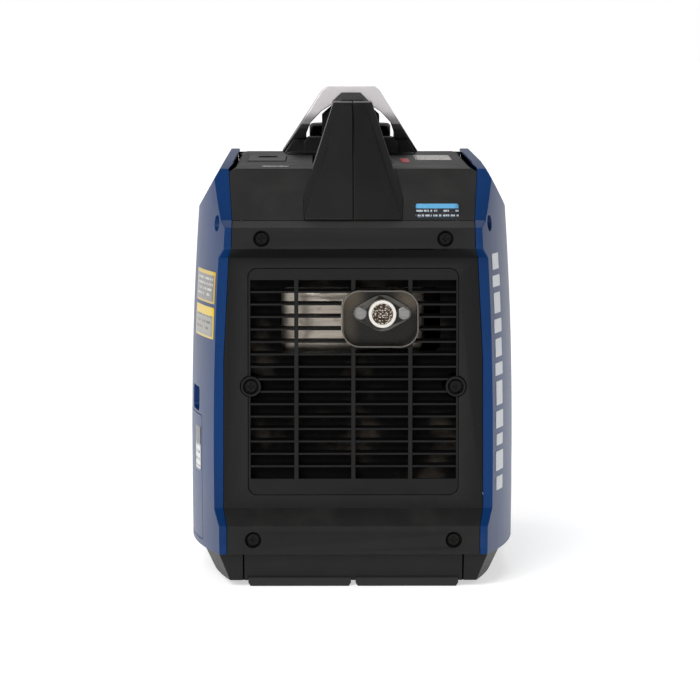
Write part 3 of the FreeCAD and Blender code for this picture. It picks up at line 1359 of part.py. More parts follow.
def build_ac_outlets():
    """Two mains outlets, each with two round contact holes and two earth slots."""
    face = END_FACE
    outlets = []
    for k, (x, z) in enumerate(OUTLETS):
        body = prism(f"ac_body{k}", "XZ", rectangle((x, z), 56, 50), face - 26, 27.5, 6)
        well = rod(f"ac_well{k}", "Y", (x, face - 10, z), 21, 20)
        core = rod(f"ac_core{k}", "Y", (x, face - 26, z), 18.5, 26)
        sockets = []
        for way in (-1, 1):
            pin, slot = x + way * 9.5, z + way * 17
            sockets.append(rod(f"ac_pin{k}_{way + 1}", "Y", (pin, face - 18, z), 2.6, 30))
            level = (slot - 2.5, slot + 2.5)
            sockets.append(box(f"ac_earth{k}_{way + 1}", (x - 3, x + 3), (face - 12, face + 5), level))
        blank = fuse(f"ac_blank{k}", cut(f"ac_open{k}", body, well), core)
        outlets.append(cut(f"ac_outlet{k}", blank, *sockets))
    keep(fuse("ac_outlets_part", *outlets), "ac_outlets")


def build_panel_fittings():
    """Ground terminal and the three indicator lenses."""
    face = END_FACE
    x, z = GROUND
    stud = rod("ground_stud", "Y", (x, face - 12, z), 3, 23)
    nut = prism("ground_nut", "XZ", hexagon_points(x, z, 5), face, 4)
    back_nut = prism("ground_back_nut", "XZ", hexagon_points(x, z, 5), face - 7.5, 4.5)
    keep(fuse("ground_part", stud, nut, back_nut), "ground_terminal")
    lenses = []
    for k, (x, z) in enumerate(LENSES):
        stem = rod(f"lens_stem{k}", "Y", (x, face - 10, z), 3.6, 11)
        dome = cone(f"lens_dome{k}", "Y", (x, face + 1, z), (3.6, 2), 1.6)
        lenses.append(fuse(f"lens{k}", stem, dome))
    keep(fuse("lenses_part", *lenses), "indicator_lenses")


def build_engine_dial():
    face = END_FACE
    x, z = DIAL
    skirt = rod("dial_skirt", "Y", (x, face + 0.5, z), 22, 4)
    bar = box("dial_bar", (x - 20, x + 20), (face + 4, face + 12.5), (z - 5, z + 5))
    grip = common("dial_grip", bar, rod("dial_limit", "Y", (x, face, z), 20, 20))
    shaft = rod("dial_shaft", "Y", (x, face - 22, z), 5.6, 24)
    mark = rod("dial_mark", "Y", (x + 15, face + 11.8, z), 1.8, 5)
    keep(cut("dial_part", fuse("dial_blank", skirt, grip, shaft), mark), "engine_dial")


def build_switches():
    """Rocker switch and reset button with the bezels round them."""
    face = END_FACE
    x, z = ECO
    frame_block = box("eco_block", (x - 7, x + 7), (face - 14, face + 0.8), (z - 12, z + 12))
    frame_lip = box("eco_lip", (x - 9, x + 9), (face, face + 0.8), (z - 14, z + 14))
    frame_void = box("eco_void", (x - 5.5, x + 5.5), (face - 12, face + 5), (z - 10.5, z + 10.5))
    pivot_holes = rod("eco_pivot_gap", "X", (x - 6.5, face - 3, z), 1.55, 13)
    surround = cut("eco_frame", fuse("eco_frame_blank", frame_block, frame_lip), frame_void, pivot_holes)
    paddle = [
        (face - 5.5, z - 9),
        (face - 0.6, z - 9.8),
        (face + 1.2, z - 9.8),
        (face + 0.2, z),
        (face + 1.2, z + 9.8),
        (face - 0.6, z + 9.8),
        (face - 5.5, z + 9),
    ]
    rocker = prism("eco_paddle", "YZ", paddle, x - 5.1, 10.2)
    pivot = rod("eco_pivot", "X", (x - 6.3, face - 3, z), 1.5, 12.6)
    keep(fuse("eco_switch_part", rocker, pivot), "eco_switch")
    x, z = RESET
    collar = tube("reset_collar", "Y", (x, face, z), (5.2, 8), 1.6)
    sleeve = tube("reset_sleeve", "Y", (x, face - 10, z), (5.2, 6), 10)
    back = rod("reset_back", "Y", (x, face - 13, z), 6, 3)
    keep(fuse("bezels_part", surround, collar, sleeve, back), "switch_bezels")
    keep(rod("reset_part", "Y", (x, face - 5.5, z), 4.85, 9.5), "reset_button")


# ---------------------------------------------------------------- cover screws and the door latch
def build_screws():
    made = [screw(f"screw{number}", *place_of) for number, place_of in enumerate(SCREW_PLACES)]
    keep(fuse("screws_part", *made), "case_screws")


def build_latch():
    """Quarter-turn knob through the service door."""
    y, z = LATCH
    head = rod("latch_head", "X", (-144, y, z), 9, 5)
    slot = box("latch_slot", (-150, -142.4), (size(y) - 6.5, size(y) + 6.5), (z - 1.2, z + 1.2))
    neck = rod("latch_neck", "X", (-139.2, y, z), 9, 3.5)
    tongue = box("latch_tongue", (-137, -134.5), (size(y) - 6, size(y) + 20), (z - 4, z + 4))
    keep(cut("latch_part", fuse("latch_blank", head, neck, tongue), slot), "door_latch")


build_rear_cover()
build_exhaust_grille()
build_exhaust_baffle()
build_control_end()
build_side_covers()
build_deck()
build_plug_access_cover()
build_base()
build_handle()
build_fuel_tank()
build_fuel_cap()
build_crankcase()
build_crankshaft()
build_head()
build_spark_plug()
build_alternator()
build_recoil_starter()
build_intake()
build_dipstick()
build_muffler()
build_exhaust_outlet()
build_inverter()
build_engine_mounts()
build_control_panel()
build_ac_outlets()
build_panel_fittings()
build_engine_dial()
build_switches()
build_screws()
build_latch()


# ---------------------------------------------------------------- export
def write_parts():
    """Checks every object and piece, then writes one STEP file for each node."""
    DOC.recompute()
    for thing in DOC.Objects:
        if "Invalid" in thing.State or "Error" in thing.State:
            raise RuntimeError(f"{thing.Name} failed: {thing.State}")
    os.makedirs("parts", exist_ok=True)
    for thing in NODES:
        shape = thing.Shape
        if shape.isNull() or not shape.isValid() or not shape.Solids:
            raise RuntimeError(f"{thing.Label} has no valid shape")
        shape.exportStep(f"parts/{thing.Label}.step")
        print(f"{thing.Label}: {len(shape.Solids)} solids, {shape.Volume / 1000:.1f} cm3")


write_parts()
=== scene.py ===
"""Looks of a suitcase-shaped inverter generator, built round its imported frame.

Every size is in metres, with +Z up, -Y at the exhaust end and +Y at the control-panel end.
"""

import math

import bpy
from bpy.props import FloatProperty, FloatVectorProperty, PointerProperty
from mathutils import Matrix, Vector
from mathutils.bvhtree import BVHTree


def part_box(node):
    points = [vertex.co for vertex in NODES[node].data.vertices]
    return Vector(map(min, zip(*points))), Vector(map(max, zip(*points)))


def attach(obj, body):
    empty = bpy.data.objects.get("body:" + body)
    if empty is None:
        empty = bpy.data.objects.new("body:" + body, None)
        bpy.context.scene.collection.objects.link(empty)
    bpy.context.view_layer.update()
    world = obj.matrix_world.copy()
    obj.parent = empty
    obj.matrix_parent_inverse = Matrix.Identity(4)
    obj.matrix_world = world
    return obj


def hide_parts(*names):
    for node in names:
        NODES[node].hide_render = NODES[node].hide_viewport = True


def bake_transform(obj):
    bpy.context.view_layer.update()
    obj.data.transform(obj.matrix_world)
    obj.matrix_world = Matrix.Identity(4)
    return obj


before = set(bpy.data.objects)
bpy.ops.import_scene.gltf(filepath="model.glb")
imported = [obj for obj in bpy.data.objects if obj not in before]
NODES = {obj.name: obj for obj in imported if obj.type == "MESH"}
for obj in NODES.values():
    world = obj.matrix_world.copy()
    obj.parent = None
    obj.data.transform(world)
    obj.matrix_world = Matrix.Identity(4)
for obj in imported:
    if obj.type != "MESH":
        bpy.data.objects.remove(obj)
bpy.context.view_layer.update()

bl_info = {
    "name": "Inverter Generator Looks",
    "version": (1, 0, 0),
    "blender": (4, 5, 0),
    "location": "View3D > Sidebar > Generator",
    "description": "Finishes, labels and soft details of a portable inverter generator",
    "category": "Object",
}

MM = 0.001
MARK_BASE = 0.083
MARK_GAP = 5.2
MARK_HEIGHTS = (12, 17, 10, 15, 21, 11, 16, 12, 18, 10, 14)  # in millimetres, from the lowest up


# ------------------------------------------------------------------ shader arithmetic
class Wire:
    """A shader socket that takes part in Python arithmetic by adding Math nodes."""

    def __init__(self, graph, socket):
        self.graph = graph
        self.socket = socket

    def math(self, operation, *values):
        made = self.graph.add("ShaderNodeMath", {"operation": operation}, dict(enumerate(values)))
        return made["Value"]

    def __add__(self, other):
        return self.math("ADD", self, other)

    def __sub__(self, other):
        return self.math("SUBTRACT", self, other)

    def __mul__(self, other):
        return self.math("MULTIPLY", self, other)

    def __truediv__(self, other):
        return self.math("DIVIDE", self, other)

    def __radd__(self, other):
        return self.math("ADD", other, self)

    def __rsub__(self, other):
        return self.math("SUBTRACT", other, self)

    def __rmul__(self, other):
        return self.math("MULTIPLY", other, self)

    def __gt__(self, other):
        return self.math("GREATER_THAN", self, other)

    def __lt__(self, other):
        return self.math("LESS_THAN", self, other)

    def fraction(self):
        return self.math("FRACT", self)

    def absolute(self):
        return self.math("ABSOLUTE", self)

    def whole(self):
        return self.math("FLOOR", self)

    def between(self, low, high):
        """0 at or below low, 1 at or above high, and smooth in between."""
        settings = {"interpolation_type": "SMOOTHSTEP"}
        sockets = {"Value": self, "From Min": low, "From Max": high}
        return self.graph.add("ShaderNodeMapRange", settings, sockets)["Result"]


class Node:
    """A shader node whose outputs are read by name."""

    def __init__(self, graph, node):
        self.graph = graph
        self.node = node

    def __getitem__(self, name):
        found = [s for s in self.node.outputs if s.name == name and s.enabled]
        return Wire(self.graph, found[0])


class Graph:
    """The node tree of one new material."""

    def __init__(self, name):
        self.material = bpy.data.materials.new(name)
        self.material.use_nodes = True
        self.tree = self.material.node_tree
        self.shader = self.tree.nodes["Principled BSDF"]

    def connect(self, socket, value):
        if isinstance(value, Wire):
            self.tree.links.new(value.socket, socket)
        else:
            socket.default_value = value

    def add(self, kind, settings=None, sockets=None):
        """Any node: its type, its settings, and the values or links of its sockets."""
        node = self.tree.nodes.new(kind)
        for name, value in (settings or {}).items():
            if name == "stops":
                self.set_stops(node.color_ramp, value)
            else:
                setattr(node, name, value)
        for name, value in (sockets or {}).items():
            if isinstance(name, int):
                self.connect(node.inputs[name], value)
            else:
                self.connect([s for s in node.inputs if s.name == name and s.enabled][0], value)
        return Node(self, node)

    @staticmethod
    def set_stops(ramp, stops):
        while len(ramp.elements) < len(stops):
            ramp.elements.new(1.0)
        for element, (position, colour) in zip(ramp.elements, stops):
            element.position = position
            element.color = (*colour, 1.0)

    def place(self, scale=(1.0, 1.0, 1.0)):
        """Object coordinates in metres, stretched by scale."""
        where = self.add("ShaderNodeTexCoord")["Object"]
        settings = {"operation": "MULTIPLY"}
        return self.add("ShaderNodeVectorMath", settings, {0: where, 1: scale})["Vector"]

    def position(self):
        """Object coordinates, in metres, as three wires."""
        parts = self.add("ShaderNodeSeparateXYZ", {}, {"Vector": self.place()})
        return parts["X"], parts["Y"], parts["Z"]

    def sheet(self):
        """(across, up) from 0 to 1 over a printed label."""
        uv = self.add("ShaderNodeTexCoord")["UV"]
        parts = self.add("ShaderNodeSeparateXYZ", {}, {"Vector": uv})
        return parts["X"], parts["Y"]

    def noise(self, scale, detail=3.0, roughness=0.55, stretch=(1.0, 1.0, 1.0)):
        sockets = {"Vector": self.place(stretch), "Scale": scale, "Detail": detail, "Roughness": roughness}
        return self.add("ShaderNodeTexNoise", {}, sockets)["Fac"]

    def cells(self, scale, stretch=(1.0, 1.0, 1.0)):
        sockets = {"Vector": self.place(stretch), "Scale": scale}
        return self.add("ShaderNodeTexVoronoi", {}, sockets)["Distance"]

    def mix(self, factor, first, second):
        sockets = {"Factor": factor, "A": rgba(first), "B": rgba(second)}
        return self.add("ShaderNodeMix", {"data_type": "RGBA"}, sockets)["Result"]

    def edges(self, low=0.515, high=0.6):
        """1 on outward edges and 0 elsewhere; it marks rubbed wear, and in some finishes a painted edge
        highlight.
        """
        return self.add("ShaderNodeNewGeometry")["Pointiness"].between(low, high)

    def upward(self):
        """1 where the surface faces up, 0 where it is upright or faces down."""
        normal = self.add("ShaderNodeNewGeometry")["Normal"]
        return self.add("ShaderNodeSeparateXYZ", {}, {"Vector": normal})["Z"].between(0.25, 0.95)

    def bump(self, height, strength, depth):
        sockets = {"Height": height, "Strength": strength, "Distance": depth}
        return self.add("ShaderNodeBump", {}, sockets)["Normal"]

    def finish(self, **sockets):
        """Sets the shader's own sockets; an underscore in a name stands for a space."""
        for name, value in sockets.items():
            self.connect(self.shader.inputs[name.replace("_", " ")], value)
        return self.material


def rgba(colour):
    """A colour with alpha, or the wire itself."""
    return colour if isinstance(colour, Wire) else (*tuple(colour)[:3], 1.0)


def shade(colour, amount):
    """A colour scaled by amount, and kept below white."""
    return tuple(min(1.0, c * amount) for c in tuple(colour)[:3])


# ------------------------------------------------------------------ finishes
def textured_plastic(name, colour, roughness=0.5, grain=0.22):
    """Injection-moulded plastic with a fine leather grain, rubbed edges that are also pushed paler as a
    painted highlight, and settled dust.
    """
    g = Graph(name)
    broad = g.noise(9.0, 4.0)
    fine = g.noise(1500.0, 2.0, 0.7)
    pebble = g.cells(900.0)
    worn = g.edges(0.505, 0.56) * (0.55 + g.noise(60.0, 3.0) * 0.45)
    dust = g.upward() * g.noise(35.0, 5.0).between(0.35, 0.8)
    tone = g.mix(broad.between(0.25, 0.75), shade(colour, 0.86), shade(colour, 1.16))
    # Painted highlight: the rubbed edges are lightened well past wear, so they also stand for the light
    # caught along the edges.
    tone = g.mix(worn * 0.6, tone, shade(colour, 5.0))
    tone = g.mix(dust * 0.035, tone, (0.30, 0.28, 0.25))
    rough = roughness + (broad - 0.5) * 0.12 + dust * 0.08 - worn * 0.1
    relief = pebble * 0.7 + fine * 0.5
    return g.finish(
        Base_Color=tone,
        Roughness=rough,
        Normal=g.bump(relief, grain, 0.00025),
        Specular_IOR_Level=0.12,
    )


def louvre_plastic(name, colour):
    """Black louvres: the faces towards -Y get a painted highlight and the other faces a painted shade, under
    a random sooty bloom.
    """
    g = Graph(name)
    outward = g.add("ShaderNodeSeparateXYZ", {}, {"Vector": g.add("ShaderNodeNewGeometry")["Normal"]})["Y"]
    # Painted light: faces towards -Y are made paler as a highlight, and all other faces darker as shade
    # between the slats.
    front = (0.0 - outward).between(0.75, 0.98)
    soot = g.noise(40.0, 4.0).between(0.3, 0.8)
    tone = g.mix(front, shade(colour, 0.35), shade(colour, 1.9))
    tone = g.mix(soot * 0.35, tone, shade(colour, 0.6))
    return g.finish(
        Base_Color=tone,
        Roughness=0.46 + soot * 0.15,
        Normal=g.bump(g.noise(1500.0, 2.0, 0.7), 0.15, 0.00025),
        Specular_IOR_Level=0.14,
    )


def satin_plastic(name, colour, roughness=0.34):
    """Smooth moulded plastic with faint flow marks and fine hairline scratches."""
    g = Graph(name)
    broad = g.noise(14.0, 4.0)
    flow = g.noise(45.0, 3.0, 0.5, (1.0, 0.25, 1.0))
    scratch = g.noise(420.0, 2.0, 0.6, (1.0, 0.05, 1.0)).between(0.62, 0.72)
    worn = g.edges()
    tone = g.mix(broad.between(0.3, 0.7), shade(colour, 0.88), shade(colour, 1.14))
    tone = g.mix(worn * 0.3, tone, shade(colour, 2.2))
    rough = roughness + (flow - 0.5) * 0.10 + scratch * 0.10
    return g.finish(
        Base_Color=tone,
        Roughness=rough,
        Normal=g.bump(flow * 0.4 + scratch * -0.2, 0.12, 0.0004),
        Specular_IOR_Level=0.2,
    )


def painted_shell(name, colour):
    """High-gloss coloured cover: deep colour under a clear coat with slight orange peel."""
    g = Graph(name)
    broad = g.noise(6.0, 3.0)
    peel = g.noise(260.0, 2.0)
    fleck = g.noise(2600.0, 1.0).between(0.62, 0.75)
    worn = g.edges(0.53, 0.62) * g.noise(80.0, 3.0).between(0.4, 0.7)
    tone = g.mix(broad.between(0.3, 0.7), shade(colour, 0.85), shade(colour, 1.12))
    tone = g.mix(fleck * 0.18, tone, shade(colour, 2.1))
    tone = g.mix(worn * 0.25, tone, (0.05, 0.10, 0.25))
    return g.finish(
        Base_Color=tone,
        Roughness=0.36 + (broad - 0.5) * 0.08 + fleck * 0.06,
        Normal=g.bump(peel, 0.06, 0.0006),
        Coat_Weight=0.05 + (broad - 0.5) * 0.04,
        Coat_Roughness=0.2,
        Specular_IOR_Level=0.12,
    )


def silver_paint(name, colour):
    """Metallic silver paint over plastic, with fine flake, faint handling marks and a painted shade on its
    lower legs.
    """
    g = Graph(name)
    flake = g.cells(3200.0)
    broad = g.noise(18.0, 4.0)
    smear = g.noise(30.0, 4.0, 0.6, (1.0, 0.3, 1.0)).between(0.45, 0.75)
    tone = g.mix(flake.between(0.1, 0.6), shade(colour, 1.1), shade(colour, 0.88))
    tone = g.mix(broad.between(0.35, 0.75) * 0.3, tone, shade(colour, 0.82))
    # Painted shade: below about 0.4 m the arch's legs are darkened, standing in for the dark deck reflected
    # in them.
    tone = g.mix(g.position()[2].between(0.399, 0.409), shade(colour, 0.3), tone)
    return g.finish(
        Base_Color=tone,
        Metallic=0.3,
        Roughness=0.4 + smear * 0.1,
        Normal=g.bump(flake * 0.3 + broad * 0.2, 0.05, 0.0003),
    )


def brushed_metal(name, colour, roughness=0.32, along=(0.04, 1.0, 1.0), heat=0.0):
    """Rolled or brushed sheet with lengthwise lines, grime in the low spots and heat tint."""
    g = Graph(name)
    lines = g.noise(700.0, 3.0, 0.65, along)
    broad = g.noise(22.0, 5.0)
    spots = g.noise(160.0, 4.0).between(0.56, 0.72)
    tone = g.mix(lines.between(0.3, 0.7), shade(colour, 0.84), shade(colour, 1.1))
    tone = g.mix(spots * 0.4, tone, shade(colour, 0.5))
    if heat:
        tint = g.noise(16.0, 3.0).between(0.42, 0.7)
        tone = g.mix(tint * heat, tone, (0.42, 0.27, 0.13))
    return g.finish(
        Base_Color=tone,
        Metallic=0.92,
        Roughness=roughness + (lines - 0.5) * 0.16 + spots * 0.15 + (broad - 0.5) * 0.08,
        Normal=g.bump(lines, 0.10, 0.0002),
    )


def cast_metal(name, colour, roughness=0.48):
    """Sand or die-cast aluminium: pebbled skin with oily stains."""
    g = Graph(name)
    pebble = g.cells(420.0)
    fine = g.noise(900.0, 3.0)
    stain = g.noise(24.0, 5.0).between(0.48, 0.72)
    tone = g.mix(fine.between(0.3, 0.7), shade(colour, 0.82), shade(colour, 1.08))
    tone = g.mix(stain * 0.35, tone, (0.16, 0.13, 0.10))
    return g.finish(
        Base_Color=tone,
        Metallic=0.8,
        Roughness=roughness + (fine - 0.5) * 0.2 - stain * 0.1,
        Normal=g.bump(pebble * 0.6 + fine * 0.4, 0.25, 0.0004),
    )


def heat_enamel(name, colour, centre):
    """Glossy heat-proof enamel on the outlet dish, with painted bronze reflections in its upper corners and
    on its -X side, and a painted highlight on its rim.
    """
    g = Graph(name)
    across, along, up = g.position()
    pits = g.noise(520.0, 3.0)
    soot = g.noise(34.0, 5.0).between(0.4, 0.75)
    # Painted reflections: the upper corners and the -X side are made pale bronze where the glossy dish would
    # reflect the light.
    corner = (across - centre[0]).absolute().between(0.008, 0.026) * (up - centre[1]).between(0.0, 0.018)
    side = (centre[0] - across).between(0.016, 0.030) * 0.6
    tone = g.mix(soot * 0.5, colour, shade(colour, 0.5))
    tone = g.mix(corner, tone, (0.13, 0.105, 0.075))
    tone = g.mix(side, tone, (0.10, 0.082, 0.058))
    # Painted highlight: a pale line along the rim at its outer lip.
    rim = along.between(-0.2420, -0.2429)
    tone = g.mix(rim * 0.8, tone, (0.12, 0.115, 0.105))
    return g.finish(
        Base_Color=tone,
        Metallic=0.5 - soot * 0.1,
        Roughness=0.26 + soot * 0.12,
        Normal=g.bump(pits, 0.08, 0.0004),
    )


def outlet_metal(name, plate, ring, centre, radius):
    """Dark heat-stained flange plate round a bright pipe."""
    g = Graph(name)
    across, along, up = g.position()
    dx, dz = across - centre[0], up - centre[1]
    pipe = (dx * dx + dz * dz) < radius * radius
    stain = g.noise(90.0, 4.0)
    lines = g.noise(700.0, 3.0)
    # Painted highlight: the flange plate's outer edges are made pale, away from the pipe.
    edge = g.edges(0.52, 0.6) * (1.0 - pipe)
    tone = g.mix(stain.between(0.35, 0.7), plate, shade(plate, 0.5))
    tone = g.mix(edge * 0.8, tone, (0.42, 0.41, 0.38))
    bright = g.mix(stain.between(0.4, 0.8) * 0.35, ring, (0.62, 0.55, 0.46))
    return g.finish(
        Base_Color=g.mix(pipe, tone, bright),
        Metallic=0.9 - pipe * 0.65,
        Roughness=0.36 + (lines - 0.5) * 0.15 + pipe * 0.1,
        Normal=g.bump(lines, 0.1, 0.0002),
    )


def speckled_screen(name, wire, gap):
    """Wire screen with bright crowns and burnt-brown gaps."""
    g = Graph(name)
    crowns = g.cells(520.0).between(0.25, 0.6)
    ash = g.noise(700.0, 3.0)
    tone = g.mix(crowns, wire, gap)
    tone = g.mix(ash.between(0.5, 0.7) * 0.5, tone, gap)
    return g.finish(
        Base_Color=tone,
        Metallic=0.35,
        Roughness=0.42 + ash * 0.2,
        Normal=g.bump(ash, 0.2, 0.0002),
    )


def rubber_finish(name, colour):
    """Matt rubber with a chalky bloom and a fine sandblasted skin."""
    g = Graph(name)
    skin = g.noise(1100.0, 3.0, 0.7)
    bloom = g.noise(40.0, 5.0).between(0.42, 0.8)
    tone = g.mix(bloom * 0.3, colour, shade(colour, 2.6))
    return g.finish(
        Base_Color=tone,
        Roughness=0.72 + bloom * 0.12,
        Normal=g.bump(skin, 0.3, 0.0003),
        Specular_IOR_Level=0.3,
    )


def braided_cord(name, colour):
    """Braided nylon: light and dark yarns that cross on the slant."""
    g = Graph(name)
    across, along = g.sheet()
    first = ((across * 8.0 + along * 260.0).fraction() - 0.5).absolute()
    second = ((across * 8.0 - along * 260.0).fraction() - 0.5).absolute()
    yarn = first * second * 4.0
    tone = g.mix(yarn.between(0.1, 0.8), shade(colour, 0.6), shade(colour, 2.2))
    return g.finish(Base_Color=tone, Roughness=0.7 + yarn * 0.1, Normal=g.bump(yarn, 0.6, 0.0006))


def open_foam(name, colour):
    """Oiled filter foam with open cells."""
    g = Graph(name)
    holes = g.cells(520.0).between(0.1, 0.5)
    # Painted shade: the hollows of the open cells are darkened.
    tone = g.mix(holes, shade(colour, 1.6), shade(colour, 0.3))
    return g.finish(Base_Color=tone, Roughness=0.85 - holes * 0.1, Normal=g.bump(holes, -0.8, 0.001))


def copper_wire(name, colour):
    """Enamelled windings, one ridge for each turn of wire."""
    g = Graph(name)
    turns = ((g.position()[1] * 900.0).fraction() - 0.5).absolute()
    broad = g.noise(60.0, 3.0)
    # Painted shade: the grooves between the turns are darkened.
    tone = g.mix(turns.between(0.05, 0.5), shade(colour, 0.45), colour)
    tone = g.mix(broad.between(0.4, 0.8) * 0.3, tone, shade(colour, 0.6))
    return g.finish(
        Base_Color=tone,
        Metallic=0.7,
        Roughness=0.3 + turns * 0.2,
        Normal=g.bump(turns, -0.6, 0.0006),
    )


def tinted_lens(name, colour):
    """Clear coloured lens over a reflector with fine rings."""
    g = Graph(name)
    broad = g.noise(400.0, 2.0)
    tone = g.mix(broad.between(0.3, 0.7), shade(colour, 0.7), colour)
    return g.finish(
        Base_Color=tone,
        Roughness=0.12 + broad * 0.05,
        Normal=g.bump(broad, 0.1, 0.0003),
        Transmission_Weight=0.4,
        Coat_Weight=0.6,
    )


def printed_label(name, ground, ink, header, header_share, rows, border=0.04):
    """Printed film label: a coloured header band over rows of short dashes, with a border."""
    g = Graph(name)
    across, up = g.sheet()
    dash = g.add(
        "ShaderNodeTexNoise",
        {"noise_dimensions": "2D"},
        {"Vector": label_dashes(g, across, up, rows), "Scale": 1.0, "Detail": 0.0},
    )["Fac"]
    row = ((up * rows).fraction() - 0.5).absolute()
    inside = frame_mask(across, border * 1.8) * frame_mask(up, border * 2.6)
    text = (row < 0.2) * (dash > 0.46) * inside
    body = g.mix(text, ground, ink)
    band = up > (1.0 - header_share)
    tone = g.mix(band, body, header)
    rim = 1.0 - frame_mask(across, border) * frame_mask(up, border * 1.3)
    tone = g.mix(rim * 0.8, tone, header)
    scuff = g.noise(300.0, 3.0).between(0.55, 0.8)
    tone = g.mix(scuff * 0.12, tone, (0.35, 0.34, 0.32))
    return g.finish(
        Base_Color=tone,
        Roughness=0.38 + scuff * 0.2,
        Normal=g.bump(g.noise(900.0, 2.0), 0.05, 0.0002),
        Coat_Weight=0.15,
    )


def label_dashes(g, across, up, rows):
    """Coordinates that give each row of a label its own pattern of dashes."""
    line = (up * rows).whole()
    return g.add("ShaderNodeCombineXYZ", {}, {"X": across * 22.0, "Y": line * 7.3})["Vector"]


def frame_mask(value, border):
    """1 inside a border at both ends of a 0 to 1 coordinate."""
    return (value > border) * (value < 1.0 - border)


def print_ink(name, colour):
    """Screen-printed ink with slightly uneven cover."""
    g = Graph(name)
    cover = g.noise(500.0, 4.0)
    tone = g.mix(cover.between(0.3, 0.75), shade(colour, 0.82), colour)
    return g.finish(Base_Color=tone, Roughness=0.46 + (cover - 0.5) * 0.2, Normal=g.bump(cover, 0.1, 0.0001))


def matt_floor(name, colour):
    """Seamless pale paper with a trace of tooth."""
    g = Graph(name)
    tooth = g.noise(350.0, 4.0)
    tone = g.mix(tooth, shade(colour, 0.985), colour)
    return g.finish(
        Base_Color=tone,
        Roughness=0.86 + tooth * 0.06,
        Normal=g.bump(tooth, 0.04, 0.0004),
        Emission_Color=(1.0, 1.0, 1.0, 1.0),
        Emission_Strength=0.55,
    )


# ------------------------------------------------------------------ mesh helpers
def dress(material, *nodes, edge=0.45 * MM, angle=25.0):
    """Gives frame nodes a finish, merges their split faces and rounds their outer edges."""
    for name in nodes:
        thing = NODES[name]
        mesh = thing.data
        for layer in ("custom_normal", "sharp_edge", "sharp_face"):
            if layer in mesh.attributes:
                mesh.attributes.remove(mesh.attributes[layer])
        mesh.shade_smooth()
        mesh.materials.clear()
        mesh.materials.append(material)
        weld = thing.modifiers.new("join_faces", "WELD")
        weld.merge_threshold = 0.002 * MM
        if edge:
            flat = thing.modifiers.new("clean_flats", "DECIMATE")
            flat.decimate_type = "DISSOLVE"
            flat.angle_limit = math.radians(0.4)
            soft = thing.modifiers.new("soft_edges", "BEVEL")
            soft.offset_type = "WIDTH"
            soft.width = edge
            soft.segments = 2
            soft.limit_method = "ANGLE"
            soft.angle_limit = math.radians(angle)
            soft.use_clamp_overlap = False
            soft.miter_outer = "MITER_ARC"
        smooth = thing.modifiers.new("even_shading", "WEIGHTED_NORMAL")
        smooth.keep_sharp = False
        smooth.weight = 60


def new_piece(name, vertices, faces, material, body, uvs=None):
    """A mesh piece that rides on a body; uvs is one pair for each vertex."""
    mesh = bpy.data.meshes.new(name)
    mesh.from_pydata([tuple(v) for v in vertices], [], faces)
    mesh.validate()
    mesh.shade_smooth()
    if uvs:
        layer = mesh.uv_layers.new(name="print")
        for loop in mesh.loops:
            layer.data[loop.index].uv = uvs[loop.vertex_index]
    mesh.materials.append(material)
    piece = bpy.data.objects.new(name, mesh)
    bpy.context.scene.collection.objects.link(piece)
    if body:
        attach(piece, body)
    return piece


def skin_of(*nodes):
    """A ray-casting tree of the named nodes' surfaces."""
    vertices, faces = [], []
    for name in nodes:
        mesh = NODES[name].data
        base = len(vertices)
        vertices += [v.co.copy() for v in mesh.vertices]
        faces += [[base + i for i in polygon.vertices] for polygon in mesh.polygons]
    return BVHTree.FromPolygons(vertices, faces)


# How far a printed film's under side and its face stand off the surface it lies on.
FILM_LIFT = 0.05 * MM
FILM_TOP = 0.25 * MM

# Directions across, up and into each outer face, for the films that lie on it.
REAR_FACE = ((1, 0, 0), (0, 0, 1), (0, 1, 0))
LEFT_FACE = ((0, -1, 0), (0, 0, 1), (1, 0, 0))
RIGHT_FACE = ((0, 1, 0), (0, 0, 1), (-1, 0, 0))
TOP_FACE = ((1, 0, 0), (0, 1, 0), (0, 0, -1))


def film(
    name, skin, centre, across, up, inward, size, material, corner=0.0, rows=8, columns=8, body="housing"
):
    """A thin closed film that lies on a surface. centre is in front of it; across, up and inward
    are unit directions; size is (width, height); corner is the radius of its corners."""
    centre, across, up, inward = (Vector(v) for v in (centre, across, up, inward))
    width, height = size
    steps = [-1.0 + 2.0 * k / rows for k in range(rows + 1)]
    if corner:
        bend = [math.sin(math.radians(a)) for a in (0, 30, 55, 75, 90)]
        near = 1.0 - 2.0 * corner / height
        ends = [near + (1.0 - near) * b for b in bend]
        middle = [near * (-1.0 + 2.0 * k / rows) for k in range(1, rows)]
        steps = [-e for e in reversed(ends)] + middle + ends
    upper, lower, uvs = [], [], []
    for step in steps:
        past = max(0.0, abs(step) * height / 2 - (height / 2 - corner)) if corner else 0.0
        trim = corner - math.sqrt(max(0.0, corner * corner - past * past)) if corner else 0.0
        half = width / 2 - trim
        for k in range(columns + 1):
            x = -half + 2 * half * k / columns
            y = step * height / 2
            start = centre + across * x + up * y
            point, normal, _, _ = skin.ray_cast(start, inward, 0.4)
            if point is None:
                raise RuntimeError(f"{name} misses its surface at {tuple(start)}")
            if normal.dot(inward) > 0:
                normal = -normal
            upper.append(point + normal * FILM_TOP)
            lower.append(point + normal * FILM_LIFT)
            uvs.append((x / width + 0.5, y / height + 0.5))
    row_length = columns + 1
    count = len(upper)
    faces = []
    for r in range(len(steps) - 1):
        for c in range(columns):
            a = r * row_length + c
            quad = [a, a + 1, a + 1 + row_length, a + row_length]
            faces.append(quad)
            faces.append([count + i for i in reversed(quad)])
    rim = list(range(row_length))
    rim += [r * row_length + columns for r in range(1, len(steps))]
    rim += [(len(steps) - 1) * row_length + c for c in range(columns - 1, -1, -1)]
    rim += [r * row_length for r in range(len(steps) - 2, 0, -1)]
    for k, a in enumerate(rim):
        b = rim[(k + 1) % len(rim)]
        faces.append([b, a, count + a, count + b])
    return new_piece(name, upper + lower, faces, material, body, uvs + uvs)


